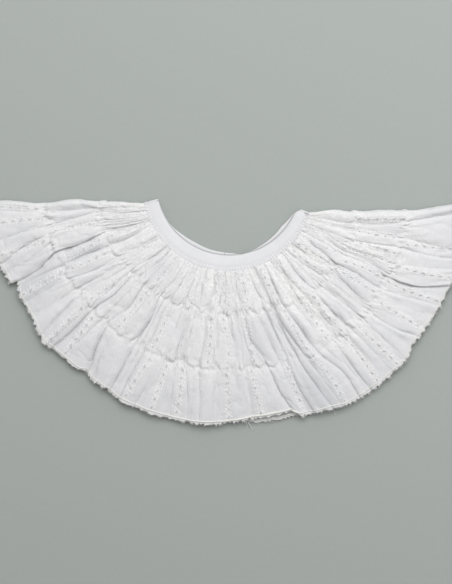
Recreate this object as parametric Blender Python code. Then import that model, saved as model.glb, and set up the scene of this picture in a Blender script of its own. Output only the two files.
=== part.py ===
"""Ruff collar: a gathered cotton frill on a plain neckband, folded in half at the shoulders, laid flat.

The collar is a ring. Folded at both shoulders it lies as a fan: the front half on top, the back half
under it. A place on the fan has two coordinates:
  turn   0 at the left shoulder fold, 1 at the right shoulder fold, in thousandths in the tables
  reach  0 at the neck seam, 1 at the mean hem
The frill has three puffed bands, parted by two shirring rows. "Level" counts them: 0 neck seam,
1 first row, 2 second row, 3 hem. Lengths are in millimetres until the mesh is made.
"""

import math
from collections import namedtuple

import bmesh
import bpy
from mathutils import Vector

MM = 0.001

# ---- Plan of the fan; angles in degrees from straight down ----
FAN_CENTRE = Vector((0.0, 131.2))
NECK_ANGLES = (-74.9, 67.6)
HEM_ANGLES = (-84.6, 84.6)
ANGLE_EASE = 0.8
NECK_RADIUS = 88.0
NECK_DROP = 4.0  # how much further out the neck seam lies at the middle of the front
NECK_SLANT = 1.5  # how much nearer it lies at the right shoulder than at the left
HEM_RADIUS = 245.0

# ---- Cloth ----
FRILL_WALL = 1.2
BAND_WALL = 1.8
SEAM_GAP = 0.3
BACK_OPENING = 1.0  # slit at the centre back, where the collar is put on
STEEPEST_COS = 0.5  # the wall grows no thicker upright than its thickness over this
SHARP_ANGLE = 50.0

# ---- Heights above the surface it lies on ----
VALLEY_LEVEL = 4.9
HEM_VALLEY_LEVEL = 3.3
FOLD_SPLIT = 3.6  # where the front and back halves meet at the shoulder folds

# ---- Puffs: rise in each band, and the share of it left at each band's start and end ----
PUFF_RISE = (5.0, 6.2, 5.4)
PUFF_START = (0.35, 0.12, 0.12)
PUFF_END = (0.12, 0.12, 0.68)
PUFF_BLUNTNESS = 3.2
HEM_BLUNTNESS = 1.6
FULL_WIDTH = 13.0  # a puff as broad as this stands to its band's full rise
NARROW_POWER = 0.6
UNEVEN_SHARE = 0.14
UNEVEN_WAVES = (1.7, 2.1)  # by puff and by band
CROWN_POWER = 2.0
CROWN_POWER_WIDTH = 14.0
CROWN_POWER_MORE = 1.6
LEAST_CREASE_GAP = 1.6

# ---- Rows and columns of the front frill ----
FRONT_LEVELS = (0.0, 0.14, 0.48, 0.85, 1.0, 1.13, 1.38, 1.64, 1.87, 2.0, 2.12, 2.42, 2.75, 3.0)
COLUMN_PITCH = 2.75
COLUMNS_A_PUFF = (2, 8)
COLUMN_CROWDING = 0.06  # towards the creases
EDGE_STEPS = (0.0, 0.04, 0.16, 0.34, 0.6, 0.82)
EDGE_ROUND = 0.45  # share of a puff beside a shoulder fold that rounds up from the fold
HEM_RAGGED = 0.8
RAGGED_WAVES = (12.9, 7.1)

# ---- Neckband ----
BAND_INNER_RADIUS = 76.0
BAND_INNER_TAPER = 2.0
BAND_FRONT_INNER_LEVEL = 3.6
BAND_FRONT_OUTER_LEVEL = 6.0
BAND_ROWS = (0.0, 0.06, 0.5, 0.94, 1.0)
BAND_FULLNESS = (0.35, 0.95, 1.0, 1.0, 0.7)
BAND_FRONT_STEPS = 36
BAND_FOLD_ANGLES = (90, 60, 30, 0, -30, -60, -90)

# ---- Back half of the frill: flat underneath, softly gathered above ----
BACK_GATHERS = 20
COLUMNS_A_GATHER = 3
BACK_LOW = 2.0
BACK_HIGH = 3.4
BACK_HEM_TOP = 1.5
BACK_HEM_THINS_FROM = 2.5
BACK_HEM_SHORTER = 0.016
BACK_HEM_EASE = 0.06
BACK_FLAT_FROM = 7.0  # mm from the shoulder fold
BACK_LEVELS = (0.0, 0.3, 0.7, 1.0, 1.5, 2.0, 2.4, 2.8, 3.0)

# ---- Colours ----
FRILL_WHITE = (0.86, 0.86, 0.87)
BACK_WHITE = (0.84, 0.84, 0.86)
BAND_WHITE = (0.85, 0.87, 0.90)

# Creases between the puffs, from the left shoulder to the right: where each lies, in thousandths of
# the turn, at the neck seam, in band 1, on row 1, in band 2, on row 2, in band 3 and at the hem, and
# how deep it is in each band, from 0 to 1.
Crease = namedtuple("Crease", "neck band1 row1 band2 row2 band3 hem deep1 deep2 deep3")
CREASES = (
    Crease(16.7, 10, 3.5, 6.2, 7.8, 8, 8, 0.5, 0.7, 0.3),
    Crease(33, 27, 14.5, 23, 32, 40, 50, 0.2, 0.5, 0.4),
    Crease(50, 45, 37, 42, 47, 62, 82, 0.1, 0.1, 0.6),
    Crease(71, 62, 54, 66, 66, 85, 95, 0.8, 0.0, 0.0),
    Crease(75.5, 74.5, 68, 80.5, 83, 104, 110, 0.8, 1.0, 1.0),
    Crease(104, 113, 112, 112.5, 115, 115.5, 118, 0.8, 0.9, 0.7),
    Crease(158, 153, 148, 149, 142, 142, 145, 0.3, 0.8, 0.35),
    Crease(178, 175, 170, 166, 165, 166, 170, 0.0, 0.2, 0.2),
    Crease(190, 187, 185, 182, 178, 187, 198, 0.0, 0.1, 0.5),
    Crease(216.7, 211, 200, 206, 205, 209, 213, 0.8, 0.4, 0.0),
    Crease(219, 216, 214.5, 224.3, 216.5, 222.5, 223.5, 0.6, 0.9, 0.9),
    Crease(244, 240, 232, 240, 240, 240, 241, 0.8, 0.3, 0.4),
    Crease(262, 258, 255.5, 264.5, 255.5, 268, 281, 0.2, 0.6, 0.8),
    Crease(285, 283, 281, 282, 274, 279, 292, 0.0, 0.0, 0.3),
    Crease(324.5, 323.5, 310, 320.5, 319, 321.5, 322.5, 0.9, 0.9, 0.8),
    Crease(338, 336, 326, 328, 331, 331, 332, 0.1, 0.3, 0.3),
    Crease(354, 350, 338, 340, 341, 338, 340, 0.6, 0.1, 0.3),
    Crease(385, 384, 381, 382, 378, 371, 364, 0.2, 0.4, 0.4),
    Crease(405, 404, 403, 402, 404, 410, 414, 0.2, 0.5, 0.4),
    Crease(425, 424, 420, 419, 424, 435, 440, 0.2, 0.35, 0.2),
    Crease(464.5, 470, 449, 453, 449, 455, 457, 0.9, 0.7, 0.3),
    Crease(491, 491, 484, 482, 481, 480, 478, 0.7, 0.6, 0.2),
    Crease(508, 508, 507, 516, 503, 502, 501, 0.1, 0.5, 0.35),
    Crease(532, 532, 530, 535.5, 533, 535.5, 535.5, 0.1, 0.3, 0.25),
    Crease(551, 548, 556, 558.5, 579, 583, 592, 0.8, 0.8, 0.9),
    Crease(585, 587, 589, 598, 603, 605, 607, 0.2, 0.6, 0.15),
    Crease(606, 612, 615.5, 619, 617, 615, 618, 0.6, 0.8, 0.5),
    Crease(632, 635, 638, 636, 637, 640.5, 643.5, 0.6, 0.3, 1.0),
    Crease(643, 643, 643, 645.5, 651, 655.5, 655.5, 0.6, 1.0, 0.8),
    Crease(685, 675.5, 668, 673.5, 674.5, 688, 682, 0.9, 1.0, 0.9),
    Crease(700, 698, 695, 697, 690, 699, 694, 0.1, 0.15, 0.25),
    Crease(715, 714, 713, 714, 712, 705, 700, 0.0, 0.1, 0.4),
    Crease(735, 729.5, 733, 729, 730.5, 723, 714, 0.8, 0.4, 0.6),
    Crease(778, 763, 758, 752.5, 750, 745, 738, 0.8, 0.8, 0.5),
    Crease(790, 784, 783, 782.5, 779, 771, 763, 0.1, 0.8, 0.5),
    Crease(806, 800.5, 805.5, 803, 798, 794, 800, 0.6, 0.1, 0.5),
    Crease(838, 833, 835.5, 820, 810, 812, 813, 0.3, 0.8, 0.1),
    Crease(889, 874, 860, 853.5, 849, 853, 851.5, 0.8, 0.8, 0.5),
    Crease(918, 907, 894, 891, 875, 872, 885, 0.5, 0.6, 0.9),
    Crease(935, 930, 915, 910, 902, 905, 908, 0.0, 0.0, 0.2),
    Crease(952, 946, 936.7, 937, 937, 926.5, 925, 0.0, 0.8, 0.7),
    Crease(968, 964, 961, 958, 956, 945, 936, 0.0, 0.0, 0.5),
    Crease(983, 981, 980, 982, 987, 991, 989, 0.5, 0.7, 0.7),
)

# Where the two shoulder folds lie, at the same seven stations, in thousandths of the turn.
LEFT_FOLD = (0, -10.5, -13, -18.6, -8.4, -8.2, -4)
RIGHT_FOLD = (1000, 1019.7, 1013, 1016.6, 1008.3, 1007.2, 1004)

# Creases where one puff lies over the next: which crease, the side its upper cloth comes from (1 is
# the left), and how far it hangs over, in mm, at the seven stations.
Overlap = namedtuple("Overlap", "crease side over")
OVERLAPS = (
    Overlap(4, 1, (0, 0, 0, 8, 5, 11, 14)),
    Overlap(38, -1, (0, 0, 0, 0, 0, 4, 6)),
)
UPPER_HEM_CREASE = 4  # the cloth left of this crease has a hem of its own reach

# Six places lead the cloth round an overlap, from its upper layer to its lowest. Each is shifted by
# the overhang (0 or -1 of it) and by a number of layer steps. Its height, in layer steps too, is steep
# where the fold starts and stacked where it lies over. Its wall leans by the last column, in degrees.
FoldSpot = namedtuple("FoldSpot", "overhang steps steep stacked lean")
FOLD_SPOTS = (
    FoldSpot(0, -1, 4.0, 4.0, 20),
    FoldSpot(0, 0, 3.2, 3.0, 90),
    FoldSpot(0, -1, 2.4, 2.0, 170),
    FoldSpot(-1, -1, 1.6, 2.0, 170),
    FoldSpot(-1, -2, 0.8, 1.0, 90),
    FoldSpot(-1, -1, 0.0, 0.0, 10),
)
LAYER_STEP = 1.05  # half the height from one layer to the next
FOLD_SPACING = 0.5  # between the six places before the fold lies over
FOLD_START_WALL = 0.4
FOLD_FULL_WALL_OVER = 6.0
FOLD_LEAD = 0.7  # in levels, before the first station that hangs over
FOLD_EASE = 0.4
UNDER_MARGIN = 0.8
STACK_MARGIN = 1.5

# Reach of the hem and of the two shirring rows against the turn, in thousandths.
Edge = namedtuple("Edge", "turn reach")
HEM = (
    Edge(80, 0.930), Edge(119, 0.935), Edge(140, 0.960), Edge(180, 0.970), Edge(210, 1.007),
    Edge(240, 0.985), Edge(272, 0.980), Edge(281, 0.952), Edge(292, 0.980), Edge(322, 0.980),
    Edge(340, 1.000), Edge(450, 1.003), Edge(490, 0.990), Edge(535, 0.963), Edge(590, 0.960),
    Edge(600, 1.005), Edge(640, 1.030), Edge(662, 1.055), Edge(720, 1.055), Edge(768, 1.042),
    Edge(780, 1.010), Edge(870, 1.000), Edge(1000, 1.000),
)
UPPER_HEM = (Edge(0, 1.000), Edge(60, 1.000), Edge(112, 0.980))
BACK_HEM_SHOWS = (Edge(500, 0.0), Edge(545, 0.040), Edge(590, 0.048), Edge(600, 0.0))
ROW_1 = (
    Edge(0, 0.272), Edge(60, 0.285), Edge(120, 0.284), Edge(180, 0.272), Edge(640, 0.273),
    Edge(690, 0.308), Edge(790, 0.308), Edge(850, 0.280), Edge(900, 0.285), Edge(1000, 0.285),
)
ROW_2 = (
    Edge(0, 0.612), Edge(200, 0.618), Edge(600, 0.625), Edge(650, 0.645), Edge(770, 0.655),
    Edge(830, 0.620), Edge(920, 0.600), Edge(1000, 0.600),
)
# How far the back half of the neckband shows inside the front half, in mm (the reach column).
BACK_BAND_SHOWS = (
    Edge(0, 0.0), Edge(180, 0.8), Edge(300, 2.0), Edge(440, 1.9), Edge(560, 0.3), Edge(620, 0.0),
    Edge(740, 1.2), Edge(880, 2.0), Edge(960, 1.0), Edge(1000, 0.0),
)


def along_table(table, turn):
    """Read an Edge table at a turn, running straight from row to row."""
    place = turn * 1000
    if place <= table[0].turn:
        return table[0].reach
    for low, high in zip(table, table[1:]):
        if place <= high.turn:
            share = (place - low.turn) / (high.turn - low.turn)
            return low.reach + (high.reach - low.reach) * share
    return table[-1].reach


def along_stations(values, level):
    """Read a row of seven stations at a level from 0 to 3, with a smooth curve through them."""
    place = min(max(level * 2, 0.0), 6.0)
    i = min(int(place), 5)
    f = place - i
    start, end = values[i], values[i + 1]
    before = values[i - 1] if i else start
    after = values[i + 2] if i < 5 else end
    slope_in, slope_out = (end - before) / 2, (after - start) / 2
    return (
        start * (2 * f**3 - 3 * f**2 + 1)
        + slope_in * (f**3 - 2 * f**2 + f)
        + end * (3 * f**2 - 2 * f**3)
        + slope_out * (f**3 - f**2)
    )


def neck_radius(turn):
    return NECK_RADIUS + NECK_DROP * (1 - (2 * turn - 1) ** 2) - NECK_SLANT * turn


def fan_angle(turn, reach):
    """Angle of a place on the fan, from straight down, in radians."""
    ease = max(reach, 0.0) ** ANGLE_EASE
    neck = NECK_ANGLES[0] + (NECK_ANGLES[1] - NECK_ANGLES[0]) * turn
    hem = HEM_ANGLES[0] + (HEM_ANGLES[1] - HEM_ANGLES[0]) * turn
    return math.radians(neck + (hem - neck) * ease)


def fan_radius(turn, reach):
    return neck_radius(turn) + (HEM_RADIUS - neck_radius(turn)) * reach


def turn_per_mm(turn, reach):
    """How much turn a millimetre along the arc takes."""
    step = 0.001
    sweep = (fan_angle(turn + step, reach) - fan_angle(turn, reach)) / step
    return 1 / (sweep * fan_radius(turn, reach))


def fan_place(turn, reach, shift, level, outward=0.0):
    """A point on the fan; shift is mm towards the right shoulder, outward is mm away from the neck."""
    angle = fan_angle(turn, reach)
    radius = fan_radius(turn, reach) + outward
    spoke = Vector((math.sin(angle), -math.cos(angle)))
    arc = Vector((math.cos(angle), math.sin(angle)))
    flat = FAN_CENTRE + spoke * radius + arc * shift
    return Vector((flat.x, flat.y, level)), Vector((arc.x, arc.y, 0.0))


def reach_at(level, turn, upper=False):
    """Reach of a level: straight from the neck seam to row 1, to row 2, to the hem."""
    row_1, row_2 = along_table(ROW_1, turn), along_table(ROW_2, turn)
    hem = along_table(UPPER_HEM if upper else HEM, turn)
    if level <= 1:
        return row_1 * level
    if level <= 2:
        return row_1 + (row_2 - row_1) * (level - 1)
    return row_2 + (hem - row_2) * (level - 2)


def swell(level):
    """How full the puffs are along a band: pinched at the shirring rows, full between them."""
    band = min(int(level), 2)
    share = level - band
    if share < 0.5:
        full = 1 - (1 - 2 * share) ** PUFF_BLUNTNESS
        return PUFF_START[band] + (1 - PUFF_START[band]) * full
    fall = (2 * share - 1) ** (HEM_BLUNTNESS if band == 2 else PUFF_BLUNTNESS)
    return 1 - (1 - PUFF_END[band]) * fall


def valley(level):
    """Height of the creases' floor: level over the back half, lower at the hem."""
    drop = max(level - 2, 0.0) ** 2
    return VALLEY_LEVEL - (VALLEY_LEVEL - HEM_VALLEY_LEVEL) * drop


def crease_turns(level):
    """Turns of the left fold, every crease and the right fold at a level, kept apart."""
    reach = reach_at(level, 0.5)
    rows = [LEFT_FOLD] + [crease[:7] for crease in CREASES] + [RIGHT_FOLD]
    turns = [along_stations(row, level) / 1000 for row in rows]
    for i in range(1, len(turns)):
        turns[i] = max(turns[i], turns[i - 1] + LEAST_CREASE_GAP * turn_per_mm(turns[i], reach))
    last = along_stations(RIGHT_FOLD, level) / 1000
    turns[-1] = last
    for i in range(len(turns) - 2, 0, -1):
        turns[i] = min(turns[i], turns[i + 1] - LEAST_CREASE_GAP * turn_per_mm(turns[i], reach))
    return turns


def crease_depth(crease, level):
    """Depth of a crease at a level, easing from each band's depth to the next."""
    depths = (crease.deep1, crease.deep2, crease.deep3)
    place = min(max(level - 0.5, 0.0), 2.0)
    i = min(int(place), 1)
    f = place - i
    f = f * f * (3 - 2 * f)
    return depths[i] + (depths[i + 1] - depths[i]) * f


def puff_height(index, width, level):
    """Height of a puff's crown over the crease floor."""
    place = min(max(level - 0.5, 0.0), 2.0)
    i = min(int(place), 1)
    rise = PUFF_RISE[i] + (PUFF_RISE[i + 1] - PUFF_RISE[i]) * (place - i)
    fullness = min(1.0, (width / FULL_WIDTH) ** NARROW_POWER)
    wave = UNEVEN_WAVES[0] * index + UNEVEN_WAVES[1] * place
    uneven = 1 + UNEVEN_SHARE * math.sin(wave)
    return rise * fullness * uneven * swell(level)


# A place on a cross-section of the front frill: turn, shift along the arc (mm), height (mm), lean of
# the wall's outward direction from straight up (radians), share of the full wall, and whether its hem
# is that of the upper cloth left of the large overlap.
Spot = namedtuple("Spot", "turn shift height lean wall upper")


def crown(share, width):
    """Rounded puff from crease to crease: 0 at both, 1 at the middle, flatter on a broad puff."""
    power = CROWN_POWER + min(width / CROWN_POWER_WIDTH, CROWN_POWER_MORE)
    return 1 - abs(2 * share - 1) ** power


def column_counts():
    """Number of columns in each puff, from its width halfway out."""
    turns = crease_turns(1.5)
    reach = reach_at(1.5, 0.5)
    counts = []
    for low, high in zip(turns, turns[1:]):
        width = (high - low) / turn_per_mm((low + high) / 2, reach)
        counts.append(min(max(round(width / COLUMN_PITCH), COLUMNS_A_PUFF[0]), COLUMNS_A_PUFF[1]))
    return counts


def overlap_spots(overlap, turn, height, level, room):
    """The S of cloth at an overlap: three layers where the upper cloth hangs over."""
    over = max(along_stations(overlap.over, level), 0.0)
    folded = min(over / (2 * LAYER_STEP), 1.0)
    first = next(i for i, mm in enumerate(overlap.over) if mm > 0) / 2
    lift = min(max((level - first + FOLD_LEAD) / FOLD_EASE, 0.0), 1.0)
    spacing = min(FOLD_SPACING, room / (2 * len(FOLD_SPOTS)))
    wall = min(FOLD_START_WALL + over / FOLD_FULL_WALL_OVER, 1.0)
    spots = []
    for i, spot in enumerate(FOLD_SPOTS):
        spread = spacing * (i - (len(FOLD_SPOTS) - 1) / 2)
        laid = over * spot.overhang + LAYER_STEP * spot.steps
        shift = spread * (1 - folded) + laid * folded
        rise = (spot.steep * (1 - folded) + spot.stacked * folded) * LAYER_STEP * lift
        lean = math.radians(min(180 * lift, 90) * (1 - folded) + spot.lean * folded)
        side = overlap.side
        spots.append(Spot(turn, side * shift, height + rise, side * lean, wall, False))
    if overlap.side < 0:
        spots.reverse()
    return spots


def crease_heights(level, crowns):
    """Height of the cloth at the left fold, every crease and the right fold."""
    heights = [valley(level)]
    for i, crease in enumerate(CREASES):
        left_standing = (1 - crease_depth(crease, level)) * min(crowns[i], crowns[i + 1])
        heights.append(valley(level) + left_standing)
    heights.append(valley(level))
    return heights


def frill_section(level, counts):
    """All spots of the front frill along one level, from the left fold to the right fold."""
    turns = crease_turns(level)
    per_mm = [turn_per_mm(turn, reach_at(level, 0.5)) for turn in turns]
    widths = [(high - low) / mm for low, high, mm in zip(turns, turns[1:], per_mm)]
    crowns = [puff_height(i, width, level) for i, width in enumerate(widths)]
    heights = crease_heights(level, crowns)
    stacks = {}
    for overlap in OVERLAPS:
        at = overlap.crease + 1
        room = min(widths[at - 1], widths[at])
        stacks[at] = overlap_spots(overlap, turns[at], heights[at], level, room)
    section, placed = [], {}
    upper_until = 0
    for i, count in enumerate(counts):
        low, high = turns[i], turns[i + 1]
        start, end = heights[i], heights[i + 1]
        under_low = under_high = 0.0
        if i in stacks:
            foot = stacks[i][-1]
            low += foot.shift * per_mm[i]
            start = foot.height
            under_low = max(-foot.shift, 0.01) if foot.lean > 0 else 0.0
        if i + 1 in stacks:
            foot = stacks[i + 1][0]
            high += foot.shift * per_mm[i + 1]
            end = foot.height
            under_high = max(foot.shift, 0.01) if foot.lean < 0 else 0.0
        top = max(valley(level) + crowns[i], start, end)
        if i == 0:
            spots = edge_spots(low, high, end, top, True)
        elif i == len(counts) - 1:
            spots = edge_spots(low, high, start, top, False)
        else:
            width = (high - low) / per_mm[i]
            spots = puff_spots(count, width, (under_low, under_high), (start, top, end))
            spots = [spot._replace(turn=low + spot.shift * per_mm[i], shift=0.0) for spot in spots]
        if i in stacks:
            placed[i] = len(section)
            if i == UPPER_HEM_CREASE + 1:
                upper_until = len(section) + len(FOLD_SPOTS) - 2
            spots = stacks[i] + spots[1:]
        section += spots
    for at, first in placed.items():
        rest_on_stack(section, first, per_mm[at])
    return [spot._replace(upper=k < upper_until) for k, spot in enumerate(section)]


def puff_spots(count, width, under, heights):
    """Spots across one puff, closest together at its creases, flat where it lies under an overlap."""
    start, top, end = heights
    low, high = (mm + UNDER_MARGIN if mm else 0.0 for mm in under)
    inside = count - (low > 0) - (high > 0)
    places = [0.0] if low else []
    for j in range(inside + (high > 0)):
        share = j / inside - COLUMN_CROWDING * math.sin(2 * math.pi * j / inside)
        places.append(low + (width - low - high) * share)
    spots = []
    for place in places:
        share = min(max((place - low) / (width - low - high), 0.0), 1.0)
        foot = start + (end - start) * share
        height = foot + (top - foot) * crown(share, width - low - high)
        spots.append(Spot(0.0, place, height, 0.0, 1.0, False))
    return spots


def rest_on_stack(section, at, per_mm):
    """Keep the cloth that leads into an overlap's top layer above the layers that lie under it."""
    after = at + len(FOLD_SPOTS)
    stack = section[at:after]
    side = 1 if stack[0].lean > 0 else -1
    upper, inner = (stack[0], stack[-2]) if side > 0 else (stack[-1], stack[1])
    if upper.height - inner.height < 2 * LAYER_STEP:
        return
    for k in range(at) if side > 0 else range(after, len(section)):
        spot = section[k]
        past = side * ((stack[0].turn - spot.turn) / per_mm + inner.shift)
        least = upper.height - max(past - STACK_MARGIN, 0.0)
        if least > spot.height and not spot.lean:
            section[k] = spot._replace(height=least)


def edge_spots(low, high, foot, top, left):
    """The puff beside a shoulder fold: a quarter round down to the split, then down to its crease."""
    spots = []
    for share in EDGE_STEPS:
        if share < EDGE_ROUND:
            out = 1 - share / EDGE_ROUND
            height = FOLD_SPLIT + (top - FOLD_SPLIT) * math.sqrt(1 - out * out)
            lean = -math.asin(out)
        else:
            down = (share - EDGE_ROUND) / (1 - EDGE_ROUND)
            height = foot + (top - foot) * math.cos(down * math.pi / 2)
            lean = 0.0
        turn = low + (high - low) * share if left else high + (low - high) * share
        spots.append(Spot(turn, 0.0, height, lean if left else -lean, 1.0, False))
    if left:
        return spots
    first = Spot(low, 0.0, foot, 0.0, 1.0, False)
    return [first] + spots[::-1]


def wall_thickness(points, directions, walls):
    """Length along each upright direction that gives the wall its thickness square to the cloth."""
    lengths = []
    rows, columns = len(points), len(points[0])
    for r in range(rows):
        line = []
        for c in range(columns):
            up = points[min(r + 1, rows - 1)][c] - points[max(r - 1, 0)][c]
            side = points[r][min(c + 1, columns - 1)] - points[r][max(c - 1, 0)]
            square = side.cross(up)
            if directions[r][c].z < 1:
                line.append(walls[r][c])
                continue
            line.append(1 / max(abs(square.normalized().dot(directions[r][c])), STEEPEST_COS))
        lengths.append(line)
    return lengths


def solid_from_sides(name, outer, inner):
    """Close two matching grids of points, the outer side and the inner side, into one solid."""
    rows, columns = len(outer), len(outer[0])
    mesh = bpy.data.meshes.new(name)
    work = bmesh.new()
    grids = [[[work.verts.new(p * MM) for p in line] for line in side] for side in (outer, inner)]
    front, back = grids

    def face(a, b, c, d):
        work.faces.new((a, b, c))
        work.faces.new((a, c, d))

    for r in range(rows - 1):
        for c in range(columns - 1):
            face(front[r][c], front[r][c + 1], front[r + 1][c + 1], front[r + 1][c])
            work.faces.new((back[r][c], back[r + 1][c + 1], back[r][c + 1]))
            work.faces.new((back[r][c], back[r + 1][c], back[r + 1][c + 1]))
    for c in range(columns - 1):
        face(front[0][c + 1], front[0][c], back[0][c], back[0][c + 1])
        face(front[-1][c], front[-1][c + 1], back[-1][c + 1], back[-1][c])
    for r in range(rows - 1):
        face(front[r][0], front[r + 1][0], back[r + 1][0], back[r][0])
        face(front[r + 1][-1], front[r][-1], back[r][-1], back[r + 1][-1])
    bmesh.ops.recalc_face_normals(work, faces=work.faces)
    work.to_mesh(mesh)
    work.free()
    mesh.shade_smooth()
    mesh.set_sharp_from_angle(angle=math.radians(SHARP_ANGLE))
    part = bpy.data.objects.new(name, mesh)
    bpy.context.scene.collection.objects.link(part)
    return part


def cotton(name, colour, roughness):
    """A plain cotton material."""
    material = bpy.data.materials.new(name)
    material.use_nodes = True
    shader = material.node_tree.nodes["Principled BSDF"]
    shader.inputs["Base Color"].default_value = (*colour, 1.0)
    shader.inputs["Roughness"].default_value = roughness
    shader.inputs["Metallic"].default_value = 0.0
    return material


def make_front():
    """The front half of the frill: one gathered wall from shoulder fold to shoulder fold."""
    counts = column_counts()
    points, directions, walls = [], [], []
    for level in FRONT_LEVELS:
        line, ways, shares = [], [], []
        for k, spot in enumerate(frill_section(level, counts)):
            reach = reach_at(level, spot.turn, spot.upper)
            outward = SEAM_GAP if level == 0 else 0.0
            if level == 3:
                outward = HEM_RAGGED * sum(math.sin(wave * k) for wave in RAGGED_WAVES) / 2
            point, arc = fan_place(spot.turn, reach, spot.shift, spot.height, outward)
            line.append(point)
            ways.append(Vector((0, 0, math.cos(spot.lean))) + arc * math.sin(spot.lean))
            shares.append(spot.wall)
        points.append(line)
        directions.append(ways)
        walls.append(shares)
    lengths = wall_thickness(points, directions, walls)
    sides = []
    for sign in (0.5, -0.5):
        side = []
        for line, ways, scale in zip(points, directions, lengths):
            side.append([p + w * FRILL_WALL * sign * s for p, w, s in zip(line, ways, scale)])
        sides.append(side)
    part = solid_from_sides("frill_front", *sides)
    part.data.materials.append(cotton("frill_cotton", FRILL_WHITE, 0.85))


def back_hem(turn):
    """Reach of the back half's hem: just short of the front's, but for one place where it shows."""
    front = HEM if turn * 1000 > UPPER_HEM[-1].turn else UPPER_HEM
    shorter = BACK_HEM_SHORTER * min(min(turn, 1 - turn) / BACK_HEM_EASE, 1.0)
    return along_table(front, turn) - shorter + along_table(BACK_HEM_SHOWS, turn)


def back_reach(level, turn):
    """Reach of a level on the back half, which differs from the front's in its hem."""
    if level <= 2:
        return reach_at(level, turn)
    row_2 = along_table(ROW_2, turn)
    return row_2 + (back_hem(turn) - row_2) * (level - 2)


def back_height(level, gathered):
    """Height of the back half's upper side; gathered is 0 between its gathers and 1 on them."""
    height = BACK_LOW + (BACK_HIGH - BACK_LOW) * gathered * swell(level)
    if level > BACK_HEM_THINS_FROM:
        thinned = (level - BACK_HEM_THINS_FROM) / (3 - BACK_HEM_THINS_FROM)
        height += (BACK_HEM_TOP - height) * thinned**2
    return height


# The back half's turn up to the shoulder fold: shift from the fold and height, in mm, of its outer
# side and of its inner side.
TurnUp = namedtuple("TurnUp", "outer_in outer_up inner_in inner_up")
TURN_UP = (
    TurnUp(-0.6, FOLD_SPLIT - SEAM_GAP, 0.9, FOLD_SPLIT - SEAM_GAP),
    TurnUp(-0.1, 1.6, 1.7, 2.5),
    TurnUp(1.0, 0.4, 3.0, 2.1),
    TurnUp(2.6, 0.0, 4.6, 2.0),
)


def make_back(name, left):
    """One side of the back half of the frill, from its shoulder fold to the centre back."""
    side = 1 if left else -1
    fold = LEFT_FOLD if left else RIGHT_FOLD
    columns = COLUMNS_A_GATHER * BACK_GATHERS
    upper, under = [], []
    for level in BACK_LEVELS:
        edge = along_stations(fold, level) / 1000
        reach = back_reach(level, edge)
        outward = SEAM_GAP if level == 0 else 0.0
        upper_line, under_line = [], []
        for step in TURN_UP:
            point, _ = fan_place(edge, reach, side * step.outer_in, step.outer_up, outward)
            under_line.append(point)
            point, _ = fan_place(edge, reach, side * step.inner_in, step.inner_up, outward)
            upper_line.append(point)
        start = edge + side * BACK_FLAT_FROM * turn_per_mm(edge, reach)
        stop = 0.5 - side * BACK_OPENING / 2 * turn_per_mm(0.5, reach)
        for k in range(columns + 1):
            turn = start + (stop - start) * k / columns
            gathered = 0.5 - 0.5 * math.cos(2 * math.pi * k / COLUMNS_A_GATHER)
            reach = back_reach(level, turn)
            point, _ = fan_place(turn, reach, 0.0, 0.0, outward)
            under_line.append(point)
            point, _ = fan_place(turn, reach, 0.0, back_height(level, gathered), outward)
            upper_line.append(point)
        upper.append(upper_line)
        under.append(under_line)
    part = solid_from_sides(name, upper, under)
    part.data.materials.append(cotton(name + "_cotton", BACK_WHITE, 0.85))


def neckband_path():
    """The neckband's course from the centre back, round the left fold, the front and the right fold.

    Each step is a stretch and a value: the turn on "back" and "front", the angle of the bend on the
    "left" and "right" folds.
    """
    back_steps = BAND_FRONT_STEPS // 2
    half = 0.5 - BACK_OPENING / 2 * turn_per_mm(0.5, 0.0)
    path = [("back", half - half * k / back_steps) for k in range(back_steps)]
    path += [("left", angle) for angle in reversed(BAND_FOLD_ANGLES)]
    path += [("front", k / BAND_FRONT_STEPS) for k in range(1, BAND_FRONT_STEPS)]
    path += [("right", angle) for angle in BAND_FOLD_ANGLES]
    path += [("back", 1.0 - half * k / back_steps) for k in range(1, back_steps + 1)]
    return path


def neckband_spot(stretch, value, share):
    """A point of the neckband's middle surface and its wall's outward direction; share is 0 at its
    inner edge and 1 at the neck seam."""
    turn = {"left": 0.0, "right": 1.0}.get(stretch, value)
    side = {"left": -1, "right": 1}.get(stretch, 0)
    front = BAND_FRONT_INNER_LEVEL + (BAND_FRONT_OUTER_LEVEL - BAND_FRONT_INNER_LEVEL) * share
    back = BAND_WALL / 2
    bend = (front - back) / 2
    inside = BAND_INNER_RADIUS - BAND_INNER_TAPER * abs(2 * turn - 1) ** 3
    shift, height, lean = 0.0, front, 0.0
    if stretch == "back":
        height, lean = back, math.pi
        inside -= along_table(BACK_BAND_SHOWS, turn)
    elif side:
        angle = math.radians(value)
        shift = -side * bend * (1 - math.cos(angle))
        height = back + bend + bend * math.sin(angle)
        lean = side * (math.pi / 2 - angle)
    outward = (inside - neck_radius(turn)) * (1 - share)
    point, arc = fan_place(turn, 0.0, shift, height, outward)
    return point, Vector((0, 0, math.cos(lean))) + arc * math.sin(lean)


def make_neckband():
    """One doubled strip, folded in half at the shoulders like the frill."""
    path = neckband_path()
    outer, inner = [], []
    for share, full in zip(BAND_ROWS, BAND_FULLNESS):
        spots = [neckband_spot(stretch, value, share) for stretch, value in path]
        outer.append([point + way * BAND_WALL / 2 * full for point, way in spots])
        inner.append([point - way * BAND_WALL / 2 * full for point, way in spots])
    part = solid_from_sides("neckband", outer, inner)
    part.data.materials.append(cotton("band_cotton", BAND_WHITE, 0.8))


def main():
    for old in list(bpy.data.objects):
        bpy.data.objects.remove(old, do_unlink=True)
    make_neckband()
    make_front()
    make_back("frill_back_left", True)
    make_back("frill_back_right", False)


main()
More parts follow.
